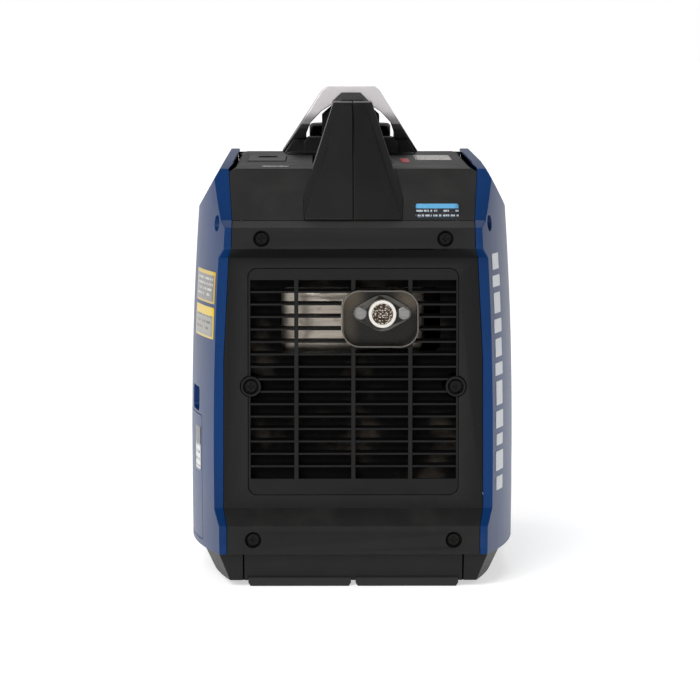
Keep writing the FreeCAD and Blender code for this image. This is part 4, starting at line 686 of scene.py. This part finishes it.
def tube_along(name, points, radius, material, body, sides=12, turns=0.0):
    """A round rod along straight points; its print coordinate runs from end to end."""
    vertices, faces, uvs = [], [], []
    for k, point in enumerate(points):
        ahead = points[min(k + 1, len(points) - 1)]
        behind = points[max(k - 1, 0)]
        along = (Vector(ahead) - Vector(behind)).normalized()
        side = along.orthogonal().normalized()
        other = along.cross(side)
        for n in range(sides):
            angle = 2 * math.pi * (n / sides + turns * k / len(points))
            vertices.append(Vector(point) + (side * math.cos(angle) + other * math.sin(angle)) * radius)
            uvs.append((n / sides, k / (len(points) - 1)))
    for k in range(len(points) - 1):
        for n in range(sides):
            a, b = k * sides + n, k * sides + (n + 1) % sides
            faces.append([a, b, b + sides, a + sides])
    faces.append(list(range(sides))[::-1])
    faces.append([len(vertices) - sides + n for n in range(sides)])
    return new_piece(name, vertices, faces, material, body, uvs)


# ------------------------------------------------------------------ settings
class FinishColours(bpy.types.PropertyGroup):
    """Colours of the generator's finishes."""

    cover: FloatVectorProperty(
        name="Covers", description="Black end and top covers",
        subtype="COLOR", size=3, default=(0.0050, 0.0050, 0.0050),
    )
    shell: FloatVectorProperty(
        name="Side shells", description="Coloured side covers",
        subtype="COLOR", size=3, default=(0.0003, 0.025, 0.108),
    )
    silver: FloatVectorProperty(
        name="Arch", description="Silver forked arch",
        subtype="COLOR", size=3, default=(0.84, 0.80, 0.81),
    )
    bronze: FloatVectorProperty(
        name="Outlet dish", description="Heat-proof enamel of the outlet dish",
        subtype="COLOR", size=3, default=(0.007, 0.006, 0.005),
    )
    rubber: FloatVectorProperty(
        name="Rubber", description="Feet and grip pad",
        subtype="COLOR", size=3, default=(0.014, 0.014, 0.014),
    )
    steel: FloatVectorProperty(
        name="Steel", description="Plated and stainless steel",
        subtype="COLOR", size=3, default=(0.62, 0.61, 0.59),
    )
    casting: FloatVectorProperty(
        name="Castings", description="Die-cast aluminium",
        subtype="COLOR", size=3, default=(0.56, 0.57, 0.58),
    )


class DetailSizes(bpy.types.PropertyGroup):
    """Sizes of the details that the looks add."""

    edge: FloatProperty(
        name="Cover edge", description="Rounding of the covers' edges",
        unit="LENGTH", default=0.9 * MM,
    )
    wire: FloatProperty(
        name="Screen wire", description="Diameter of the spark screen's wire",
        unit="LENGTH", default=0.55 * MM,
    )
    pitch: FloatProperty(
        name="Screen pitch", description="Spacing of the spark screen's wires",
        unit="LENGTH", default=1.5 * MM,
    )
    rope: FloatProperty(
        name="Rope", description="Diameter of the starter rope",
        unit="LENGTH", default=4.2 * MM,
    )


class StageSettings(bpy.types.PropertyGroup):
    """Camera and lights."""

    eye: FloatVectorProperty(
        name="Camera", description="Camera position",
        subtype="XYZ", unit="LENGTH", size=3, default=(-0.030, -3.752, 0.510),
    )
    aim: FloatVectorProperty(
        name="Aim", description="Point the camera looks at",
        subtype="XYZ", unit="LENGTH", size=3, default=(-0.0026, -0.2, 0.2045),
    )
    lens: FloatProperty(
        name="Lens", description="Focal length on a 36 mm sensor, in millimetres",
        default=208.0,
    )
    floor: FloatVectorProperty(
        name="Floor", description="Pale floor",
        subtype="COLOR", size=3, default=(0.93, 0.93, 0.93),
    )
    ambient: FloatProperty(name="Ambient", description="Strength of the surrounding light", default=0.5)
    sun: FloatProperty(name="Sun", description="Strength of the broad top light", default=2.0)
    key: FloatProperty(name="Key", description="Power of the left softbox", unit="POWER", default=5.0)
    fill: FloatProperty(name="Fill", description="Power of the right softbox", unit="POWER", default=4.0)
    overhead: FloatProperty(
        name="Overhead", description="Power of the rear top softbox",
        unit="POWER", default=12.0,
    )


def colours():
    return bpy.context.scene.generator_colours


def sizes():
    return bpy.context.scene.generator_sizes


# ------------------------------------------------------------------ pieces
class GENERATOR_OT_covers(bpy.types.Operator):
    """Textured black covers at both ends and on top."""

    bl_idname = "generator.covers"
    bl_label = "Black covers"

    def execute(self, context):
        black = textured_plastic("black_cover_grain", colours().cover)
        dress(black, "rear_cover", "front_cover", edge=sizes().edge, angle=15.0)
        # Painted sheen: the deck is the cover plastic made 1.25 times paler, standing in for its grazing
        # reflection.
        deck = textured_plastic("deck_grain_painted_sheen", shade(colours().cover, 1.25), 0.46)
        dress(deck, "top_cover", edge=0.25 * MM, angle=15.0)
        dress(deck, "plug_access_cover", edge=0.5 * MM)
        dress(louvre_plastic("louvre_plastic", colours().cover), "exhaust_grille", edge=0.3 * MM)
        return {"FINISHED"}


class GENERATOR_OT_shells(bpy.types.Operator):
    """Glossy coloured side covers with the service door and its latch."""

    bl_idname = "generator.shells"
    bl_label = "Side covers and door"

    def execute(self, context):
        blue = painted_shell("blue_shell_paint", colours().shell)
        dress(blue, "side_cover_left", "side_cover_right", edge=sizes().edge, angle=15.0)
        dress(blue, "service_door", edge=0.4 * MM, angle=15.0)
        dress(satin_plastic("latch_plastic", shade(colours().cover, 0.8)), "door_latch", edge=0.3 * MM)
        return {"FINISHED"}


class GENERATOR_OT_handle(bpy.types.Operator):
    """Carrying handle: satin black halves, rubber pad and silver arch."""

    bl_idname = "generator.handle"
    bl_label = "Carrying handle"

    def execute(self, context):
        black = satin_plastic("handle_plastic", shade(colours().cover, 1.9), 0.3)
        dress(black, "handle_half_left", "handle_half_right", edge=1.2 * MM, angle=15.0)
        dress(rubber_finish("grip_rubber", shade(colours().rubber, 1.6)), "grip_pad", edge=0.5 * MM)
        dress(silver_paint("arch_silver", colours().silver), "handle_arch", edge=1.6 * MM, angle=12.0)
        return {"FINISHED"}


class GENERATOR_OT_fuel_cap(bpy.types.Operator):
    """Fuel cap with its vent knob and gasket, and the tank below."""

    bl_idname = "generator.fuel_cap"
    bl_label = "Fuel cap and tank"

    def execute(self, context):
        plastic = satin_plastic("cap_plastic", shade(colours().cover, 0.7), 0.42)
        dress(plastic, "fuel_cap", edge=0.5 * MM)
        dress(satin_plastic("vent_plastic", shade(colours().cover, 1.6)), "vent_knob", edge=0.4 * MM)
        dress(rubber_finish("gasket_rubber", colours().rubber), "cap_gasket", edge=0)
        dress(painted_shell("tank_enamel", (0.02, 0.02, 0.022)), "fuel_tank", edge=0.8 * MM)
        return {"FINISHED"}


class GENERATOR_OT_exhaust(bpy.types.Operator):
    """Outlet dish, two-bolt flange, tail pipe with its spark screen, muffler and duct wall."""

    bl_idname = "generator.exhaust"
    bl_label = "Exhaust end"

    def execute(self, context):
        low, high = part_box("exhaust_dish")
        middle = (low + high) / 2
        enamel = heat_enamel("outlet_enamel", colours().bronze, (middle.x, middle.z))
        dress(enamel, "exhaust_dish", edge=0.5 * MM)
        low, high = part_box("spark_arrestor")
        middle, radius = (low + high) / 2, (high.x - low.x) / 2 + 2.95 * MM
        dark, bright = (0.045, 0.043, 0.04), (0.66, 0.64, 0.60)
        flange = outlet_metal("outlet_metal", dark, bright, (middle.x, middle.z), radius)
        dress(flange, "outlet_flange", edge=0.35 * MM)
        dress(brushed_metal("bolt_steel", shade(colours().steel, 0.42), 0.3), "outlet_bolts", edge=0.3 * MM)
        dress(brushed_metal("muffler_steel", (0.62, 0.56, 0.49), 0.42, heat=0.15), "muffler", edge=0)
        dress(cast_metal("duct_steel", (0.004, 0.004, 0.004), 0.8), "exhaust_baffle", edge=0)
        self.spark_screen()
        return {"FINISHED"}

    def spark_screen(self):
        """Woven wire disc and its rolled collar inside the tail pipe."""
        low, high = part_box("spark_arrestor")
        centre = (low + high) / 2
        limit = (high.x - low.x) / 2 - 0.05 * MM
        wire, pitch = sizes().wire, sizes().pitch
        rust = speckled_screen("screen_wire", (0.86, 0.80, 0.72), (0.10, 0.06, 0.035))
        vertices, faces = [], []
        face_y = low.y + 0.8 * MM
        count = int(limit / pitch)
        for direction in (0, 1):
            for k in range(-count, count + 1):
                offset = k * pitch
                reach = math.sqrt(max(0.0, limit * limit - offset * offset)) - wire / 2
                self.wave_wire(vertices, faces, centre, face_y, direction, offset, reach, k)
        self.collar(vertices, faces, centre, low.y, high.y, limit)
        piece = new_piece("spark_screen", vertices, faces, rust, "housing")
        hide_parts("spark_arrestor")

    def wave_wire(self, vertices, faces, centre, face_y, direction, offset, reach, k):
        """One wire of the weave, which passes over and under its crossing wires."""
        wire, pitch = sizes().wire, sizes().pitch
        steps = max(4, int(reach * 8 / pitch))
        sides = 6
        base = len(vertices)
        for n in range(steps + 1):
            along = -reach + 2 * reach * n / steps
            phase = math.pi * (along / pitch + k + direction)
            lift = math.cos(phase) * wire * 0.5
            for m in range(sides):
                angle = 2 * math.pi * m / sides
                sidestep, rise = math.cos(angle) * wire / 2, math.sin(angle) * wire / 2
                spot = (along, offset + sidestep) if direction == 0 else (offset + sidestep, along)
                vertices.append(Vector((centre.x + spot[0], face_y + lift + rise, centre.z + spot[1])))
        for n in range(steps):
            for m in range(sides):
                a, b = base + n * sides + m, base + n * sides + (m + 1) % sides
                faces.append([a, b, b + sides, a + sides])
        faces.append([base + m for m in reversed(range(sides))])
        faces.append([base + steps * sides + m for m in range(sides)])

    def collar(self, vertices, faces, centre, front, back, outer):
        """Thin rolled tube that the screen is pressed into."""
        sides, inner = 48, outer - 0.7 * MM
        base = len(vertices)
        for radius, y in ((outer, front), (outer, back), (inner, back), (inner, front)):
            for m in range(sides):
                angle = 2 * math.pi * m / sides
                aside, above = radius * math.cos(angle), radius * math.sin(angle)
                vertices.append(Vector((centre.x + aside, y, centre.z + above)))
        for ring in range(4):
            for m in range(sides):
                a = base + ring * sides + m
                b = base + ring * sides + (m + 1) % sides
                after = base + ((ring + 1) % 4) * sides
                faces.append([a, b, after + (m + 1) % sides, after + m])


class GENERATOR_OT_base(bpy.types.Operator):
    """Base tray, rubber feet and engine mounts."""

    bl_idname = "generator.base"
    bl_label = "Base"

    def execute(self, context):
        tray = textured_plastic("tray_grain", shade(colours().cover, 0.9), 0.52, 0.3)
        dress(tray, "base_tray", edge=0.8 * MM, angle=20.0)
        rubber = rubber_finish("foot_rubber", colours().rubber)
        dress(rubber, "rubber_feet", edge=0.6 * MM)
        dress(rubber, "engine_mounts", edge=0)
        return {"FINISHED"}


class GENERATOR_OT_panel(bpy.types.Operator):
    """Control panel with its outlets, dial, rocker, button, lenses and earth stud."""

    bl_idname = "generator.panel"
    bl_label = "Control panel"

    def execute(self, context):
        panel = textured_plastic("panel_grain", shade(colours().cover, 1.1), 0.5, 0.15)
        dress(panel, "control_panel", edge=0.4 * MM)
        dress(satin_plastic("outlet_plastic", shade(colours().cover, 0.9), 0.36), "ac_outlets", edge=0.5 * MM)
        dress(satin_plastic("dial_plastic", shade(colours().cover, 1.7), 0.4), "engine_dial", edge=0.6 * MM)
        dress(satin_plastic("bezel_plastic", colours().cover, 0.3), "switch_bezels", edge=0.25 * MM)
        dress(satin_plastic("rocker_plastic", (0.05, 0.05, 0.055), 0.3), "eco_switch", edge=0.3 * MM)
        dress(satin_plastic("button_plastic", (0.42, 0.015, 0.01), 0.3), "reset_button", edge=0.3 * MM)
        dress(tinted_lens("lens_green", (0.05, 0.62, 0.12)), "indicator_lenses", edge=0.25 * MM)
        dress(brushed_metal("stud_brass", (0.72, 0.52, 0.2), 0.3), "ground_terminal", edge=0.25 * MM)
        return {"FINISHED"}


class GENERATOR_OT_starter(bpy.types.Operator):
    """Recoil starter: grip, bezel, pulley, housing and the braided rope between them."""

    bl_idname = "generator.starter"
    bl_label = "Recoil starter"

    def execute(self, context):
        plastic = satin_plastic("starter_plastic", shade(colours().cover, 1.2), 0.4)
        dress(plastic, "recoil_grip", edge=0.9 * MM)
        dress(textured_plastic("bezel_grain", colours().cover, 0.5), "recoil_bezel", edge=0)
        pulley = satin_plastic("pulley_plastic", (0.03, 0.03, 0.03), 0.5)
        dress(pulley, "recoil_pulley", "recoil_housing", edge=0)
        cord = braided_cord("rope_braid", (0.05, 0.05, 0.052))
        dress(cord, "rope_coil", edge=0)
        self.rope(cord)
        return {"FINISHED"}

    def rope(self, cord):
        """The free run pays out between the pulley and the grip."""
        low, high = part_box("recoil_rope")
        middle = (low + high) / 2
        steps = 120
        points = [(high.x + (low.x - high.x) * k / steps, middle.y, middle.z) for k in range(steps + 1)]
        piece = tube_along("starter_rope", points, sizes().rope / 2, cord, None, 16, 6.0)
        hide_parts("recoil_rope")
        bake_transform(piece)


class GENERATOR_OT_engine(bpy.types.Operator):
    """Engine, alternator, fan, intake and inverter inside the covers."""

    bl_idname = "generator.engine"
    bl_label = "Engine and alternator"

    def execute(self, context):
        casting = cast_metal("engine_casting", colours().casting)
        dress(casting, "crankcase", "crankcase_cover", "cylinder_head", edge=0)
        dress(casting, "carburettor", "inverter_module", edge=0)
        dress(painted_shell("rocker_enamel", (0.02, 0.02, 0.02)), "rocker_cover", edge=0)
        steel = brushed_metal("shaft_steel", colours().steel, 0.25)
        dress(steel, "crankshaft", "main_bearings", "flywheel_rotor", "spark_plug", edge=0)
        iron = brushed_metal("stator_iron", (0.2, 0.2, 0.21), 0.5, (1.0, 0.03, 1.0))
        dress(iron, "alternator_stator", edge=0)
        dress(copper_wire("winding_copper", (0.72, 0.3, 0.12)), "stator_coils", edge=0)
        moulded = textured_plastic("duct_grain", colours().cover, 0.55)
        dress(moulded, "cooling_fan", "fan_shroud", "air_filter_box", edge=0)
        rubber = rubber_finish("hose_rubber", colours().rubber)
        dress(rubber, "intake_hose", "plug_boot", edge=0)
        dress(open_foam("filter_foam", (0.06, 0.055, 0.05)), "air_filter_element", edge=0)
        dress(satin_plastic("dipstick_plastic", (0.03, 0.03, 0.03), 0.4), "oil_dipstick", edge=0.4 * MM)
        return {"FINISHED"}


class GENERATOR_OT_fasteners(bpy.types.Operator):
    """Blackened screws in the covers and the handle."""

    bl_idname = "generator.fasteners"
    bl_label = "Case screws"

    def execute(self, context):
        dress(brushed_metal("screw_steel", shade(colours().steel, 0.02), 0.34), "case_screws", edge=0.25 * MM)
        return {"FINISHED"}


class GENERATOR_OT_labels(bpy.types.Operator):
    """Plain printed labels and the column of marks on the right cover."""

    bl_idname = "generator.labels"
    bl_label = "Labels and marks"

    def execute(self, context):
        top, left, right = skin_of("top_cover"), skin_of("side_cover_left"), skin_of("side_cover_right")
        slope = printed_label(
            "slope_label_print", ground=(0.006, 0.008, 0.014), ink=(0.42, 0.46, 0.5),
            header=(0.10, 0.36, 0.62), header_share=0.33, rows=3.0, border=0.0,
        )
        size = (37.2 * MM, 11.8 * MM)
        film("slope_label", top, (0.0731, -0.3, 0.3289), *REAR_FACE, size, slope, 1.6 * MM)
        upper = printed_label(
            "rating_label_print", ground=(0.17, 0.16, 0.15), ink=(0.5, 0.5, 0.48),
            header=(0.55, 0.38, 0.03), header_share=0.12, rows=6.0, border=0.05,
        )
        size = (80 * MM, 28 * MM)
        film("rating_label", left, (-0.2, -0.194, 0.2613), *LEFT_FACE, size, upper, 1.5 * MM)
        lower = printed_label(
            "care_label_print", ground=(0.26, 0.25, 0.22), ink=(0.05, 0.05, 0.05),
            header=(0.66, 0.46, 0.02), header_share=0.28, rows=5.0, border=0.05,
        )
        size = (80 * MM, 27.5 * MM)
        film("care_label", left, (-0.2, -0.194, 0.2303), *LEFT_FACE, size, lower, 1.5 * MM)
        self.door_label()
        self.deck_prints(top)
        self.side_marks(right)
        return {"FINISHED"}

    def door_label(self):
        """The oil label turns with the service door that it lies on."""
        oil = printed_label(
            "door_label_print", ground=(0.60, 0.60, 0.60), ink=(0.02, 0.02, 0.02),
            header=(0.05, 0.05, 0.05), header_share=0.4, rows=6.0, border=0.03,
        )
        size, place = (27 * MM, 39 * MM), (-0.2, -0.178, 0.116)
        film("door_label", skin_of("service_door"), place, *LEFT_FACE, size, oil, 1.5 * MM, body="door")

    def deck_prints(self, top):
        """Caution label, red warning block and short strip on the deck."""
        deck = printed_label(
            "deck_label_print", ground=(0.50, 0.48, 0.44), ink=(0.08, 0.08, 0.08),
            header=(0.45, 0.45, 0.42), header_share=0.1, rows=9.0, border=0.02,
        )
        size = (33 * MM, 110 * MM)
        film("deck_label", top, (0.0745, -0.02, 0.45), *TOP_FACE, size, deck, 2 * MM, rows=10)
        strip = printed_label(
            "deck_strip_print", ground=(0.02, 0.02, 0.02), ink=(0.4, 0.4, 0.4),
            header=(0.02, 0.02, 0.02), header_share=0.0, rows=2.0, border=0.0,
        )
        size = (24 * MM, 15 * MM)
        film("deck_strip", top, (-0.068, -0.182, 0.45), *TOP_FACE, size, strip, 1 * MM, rows=4)
        warning = print_ink("red_ink", (0.42, 0.012, 0.014))
        size = (8 * MM, 90 * MM)
        film("deck_warning", top, (0.0478, -0.085, 0.45), *TOP_FACE, size, warning, 1 * MM, 8, 3)

    def side_marks(self, right):
        """A column of plain pale bars of uneven height."""
        ink = print_ink("pale_ink", (0.62, 0.64, 0.67))
        level = MARK_BASE
        for k, height in enumerate(MARK_HEIGHTS):
            at = (0.2, -0.215, level + height * MM / 2)
            size = ((28 if k % 2 else 24) * MM, height * MM)
            film(f"side_mark_{k}", right, at, *RIGHT_FACE, size, ink, 1.2 * MM, 6, 8)
            level += (height + MARK_GAP) * MM


class GENERATOR_OT_stage(bpy.types.Operator):
    """Pale floor, soft lights and the camera."""

    bl_idname = "generator.stage"
    bl_label = "Stage"

    def execute(self, context):
        scene = context.scene
        settings = scene.generator_stage
        reach = 30.0
        corners = [(-reach, -reach, 0), (reach, -reach, 0), (reach, reach, 0), (-reach, reach, 0)]
        floor = new_piece("floor", corners, [[0, 1, 2, 3]], matt_floor("floor_paper", settings.floor), None)
        scene.world = self.studio_world(settings.ambient)
        self.sun(settings.sun)
        self.softbox("key", (-1.2, -1.9, 2.3), 1.4, settings.key)
        self.softbox("fill", (1.5, -1.9, 1.7), 1.4, settings.fill)
        self.softbox("overhead", (0.0, 0.5, 2.2), 1.6, settings.overhead)
        data = bpy.data.cameras.new("camera")
        data.lens = settings.lens
        data.sensor_width = 36.0
        data.clip_end = 200.0
        camera = bpy.data.objects.new("camera", data)
        scene.collection.objects.link(camera)
        eye, aim = Vector(settings.eye), Vector(settings.aim)
        camera.location = eye
        camera.rotation_euler = (aim - eye).to_track_quat("-Z", "Y").to_euler()
        scene.camera = camera
        scene.view_settings.view_transform = "Standard"
        return {"FINISHED"}

    def studio_world(self, ambient):
        """White where it is seen directly; as a light it is strong round the sides and dim above."""
        world = bpy.data.worlds.new("studio")
        world.use_nodes = True
        tree = world.node_tree
        background = tree.nodes["Background"]
        output = tree.nodes["World Output"]
        where = tree.nodes.new("ShaderNodeTexCoord")
        parts = tree.nodes.new("ShaderNodeSeparateXYZ")
        tree.links.new(where.outputs["Generated"], parts.inputs["Vector"])
        product = tree.nodes.new("ShaderNodeMath")
        product.operation = "MULTIPLY"
        spans = {"Y": (-0.9, 0.1, ambient * 0.45, ambient), "Z": (0.35, 0.95, 1.0, 0.45)}
        for k, (axis, limits) in enumerate(spans.items()):
            ramp = tree.nodes.new("ShaderNodeMapRange")
            ramp.interpolation_type = "SMOOTHSTEP"
            for socket, value in zip(("From Min", "From Max", "To Min", "To Max"), limits):
                ramp.inputs[socket].default_value = value
            tree.links.new(parts.outputs[axis], ramp.inputs["Value"])
            tree.links.new(ramp.outputs["Result"], product.inputs[k])
        tree.links.new(product.outputs["Value"], background.inputs["Strength"])
        backdrop = tree.nodes.new("ShaderNodeBackground")
        backdrop.inputs["Strength"].default_value = 1.0
        for node in (background, backdrop):
            node.inputs["Color"].default_value = (1.0, 1.0, 1.0, 1.0)
        seen = tree.nodes.new("ShaderNodeLightPath")
        choice = tree.nodes.new("ShaderNodeMixShader")
        tree.links.new(seen.outputs["Is Camera Ray"], choice.inputs[0])
        tree.links.new(background.outputs["Background"], choice.inputs[1])
        tree.links.new(backdrop.outputs["Background"], choice.inputs[2])
        tree.links.new(choice.outputs["Shader"], output.inputs["Surface"])
        return world

    def sun(self, strength):
        """Broad soft light from the exhaust end, above and to the left."""
        data = bpy.data.lights.new("sun", "SUN")
        data.energy = strength
        data.angle = math.radians(35)
        light = bpy.data.objects.new("sun", data)
        bpy.context.scene.collection.objects.link(light)
        light.rotation_euler = Vector((0.45, 0.95, -0.6)).to_track_quat("-Z", "Y").to_euler()

    def softbox(self, name, place, size, power):
        """A square area light that faces the middle of the generator."""
        data = bpy.data.lights.new(name, "AREA")
        data.size = size
        data.energy = power
        light = bpy.data.objects.new(name, data)
        bpy.context.scene.collection.objects.link(light)
        light.location = place
        light.rotation_euler = (Vector((0, 0, 0.2)) - Vector(place)).to_track_quat("-Z", "Y").to_euler()


PIECES = (
    GENERATOR_OT_stage,
    GENERATOR_OT_covers,
    GENERATOR_OT_shells,
    GENERATOR_OT_handle,
    GENERATOR_OT_fuel_cap,
    GENERATOR_OT_exhaust,
    GENERATOR_OT_base,
    GENERATOR_OT_panel,
    GENERATOR_OT_starter,
    GENERATOR_OT_engine,
    GENERATOR_OT_fasteners,
    GENERATOR_OT_labels,
)


class GENERATOR_PT_pieces(bpy.types.Panel):
    """Lists every piece and its settings."""

    bl_idname = "GENERATOR_PT_pieces"
    bl_label = "Generator"
    bl_space_type = "VIEW_3D"
    bl_region_type = "UI"
    bl_category = "Generator"

    def draw(self, context):
        scene = context.scene
        for group in (scene.generator_colours, scene.generator_sizes, scene.generator_stage):
            for name in group.__annotations__:
                self.layout.prop(group, name)
        for piece in PIECES:
            self.layout.operator(piece.bl_idname)


CLASSES = (FinishColours, DetailSizes, StageSettings, *PIECES, GENERATOR_PT_pieces)


def register():
    for item in CLASSES:
        bpy.utils.register_class(item)
    bpy.types.Scene.generator_colours = PointerProperty(type=FinishColours)
    bpy.types.Scene.generator_sizes = PointerProperty(type=DetailSizes)
    bpy.types.Scene.generator_stage = PointerProperty(type=StageSettings)


def unregister():
    del bpy.types.Scene.generator_stage
    del bpy.types.Scene.generator_sizes
    del bpy.types.Scene.generator_colours
    for item in reversed(CLASSES):
        bpy.utils.unregister_class(item)


def main():
    register()
    for piece in PIECES:
        group, name = piece.bl_idname.split(".")
        getattr(getattr(bpy.ops, group), name)()


if __name__ == "__main__":
    main()
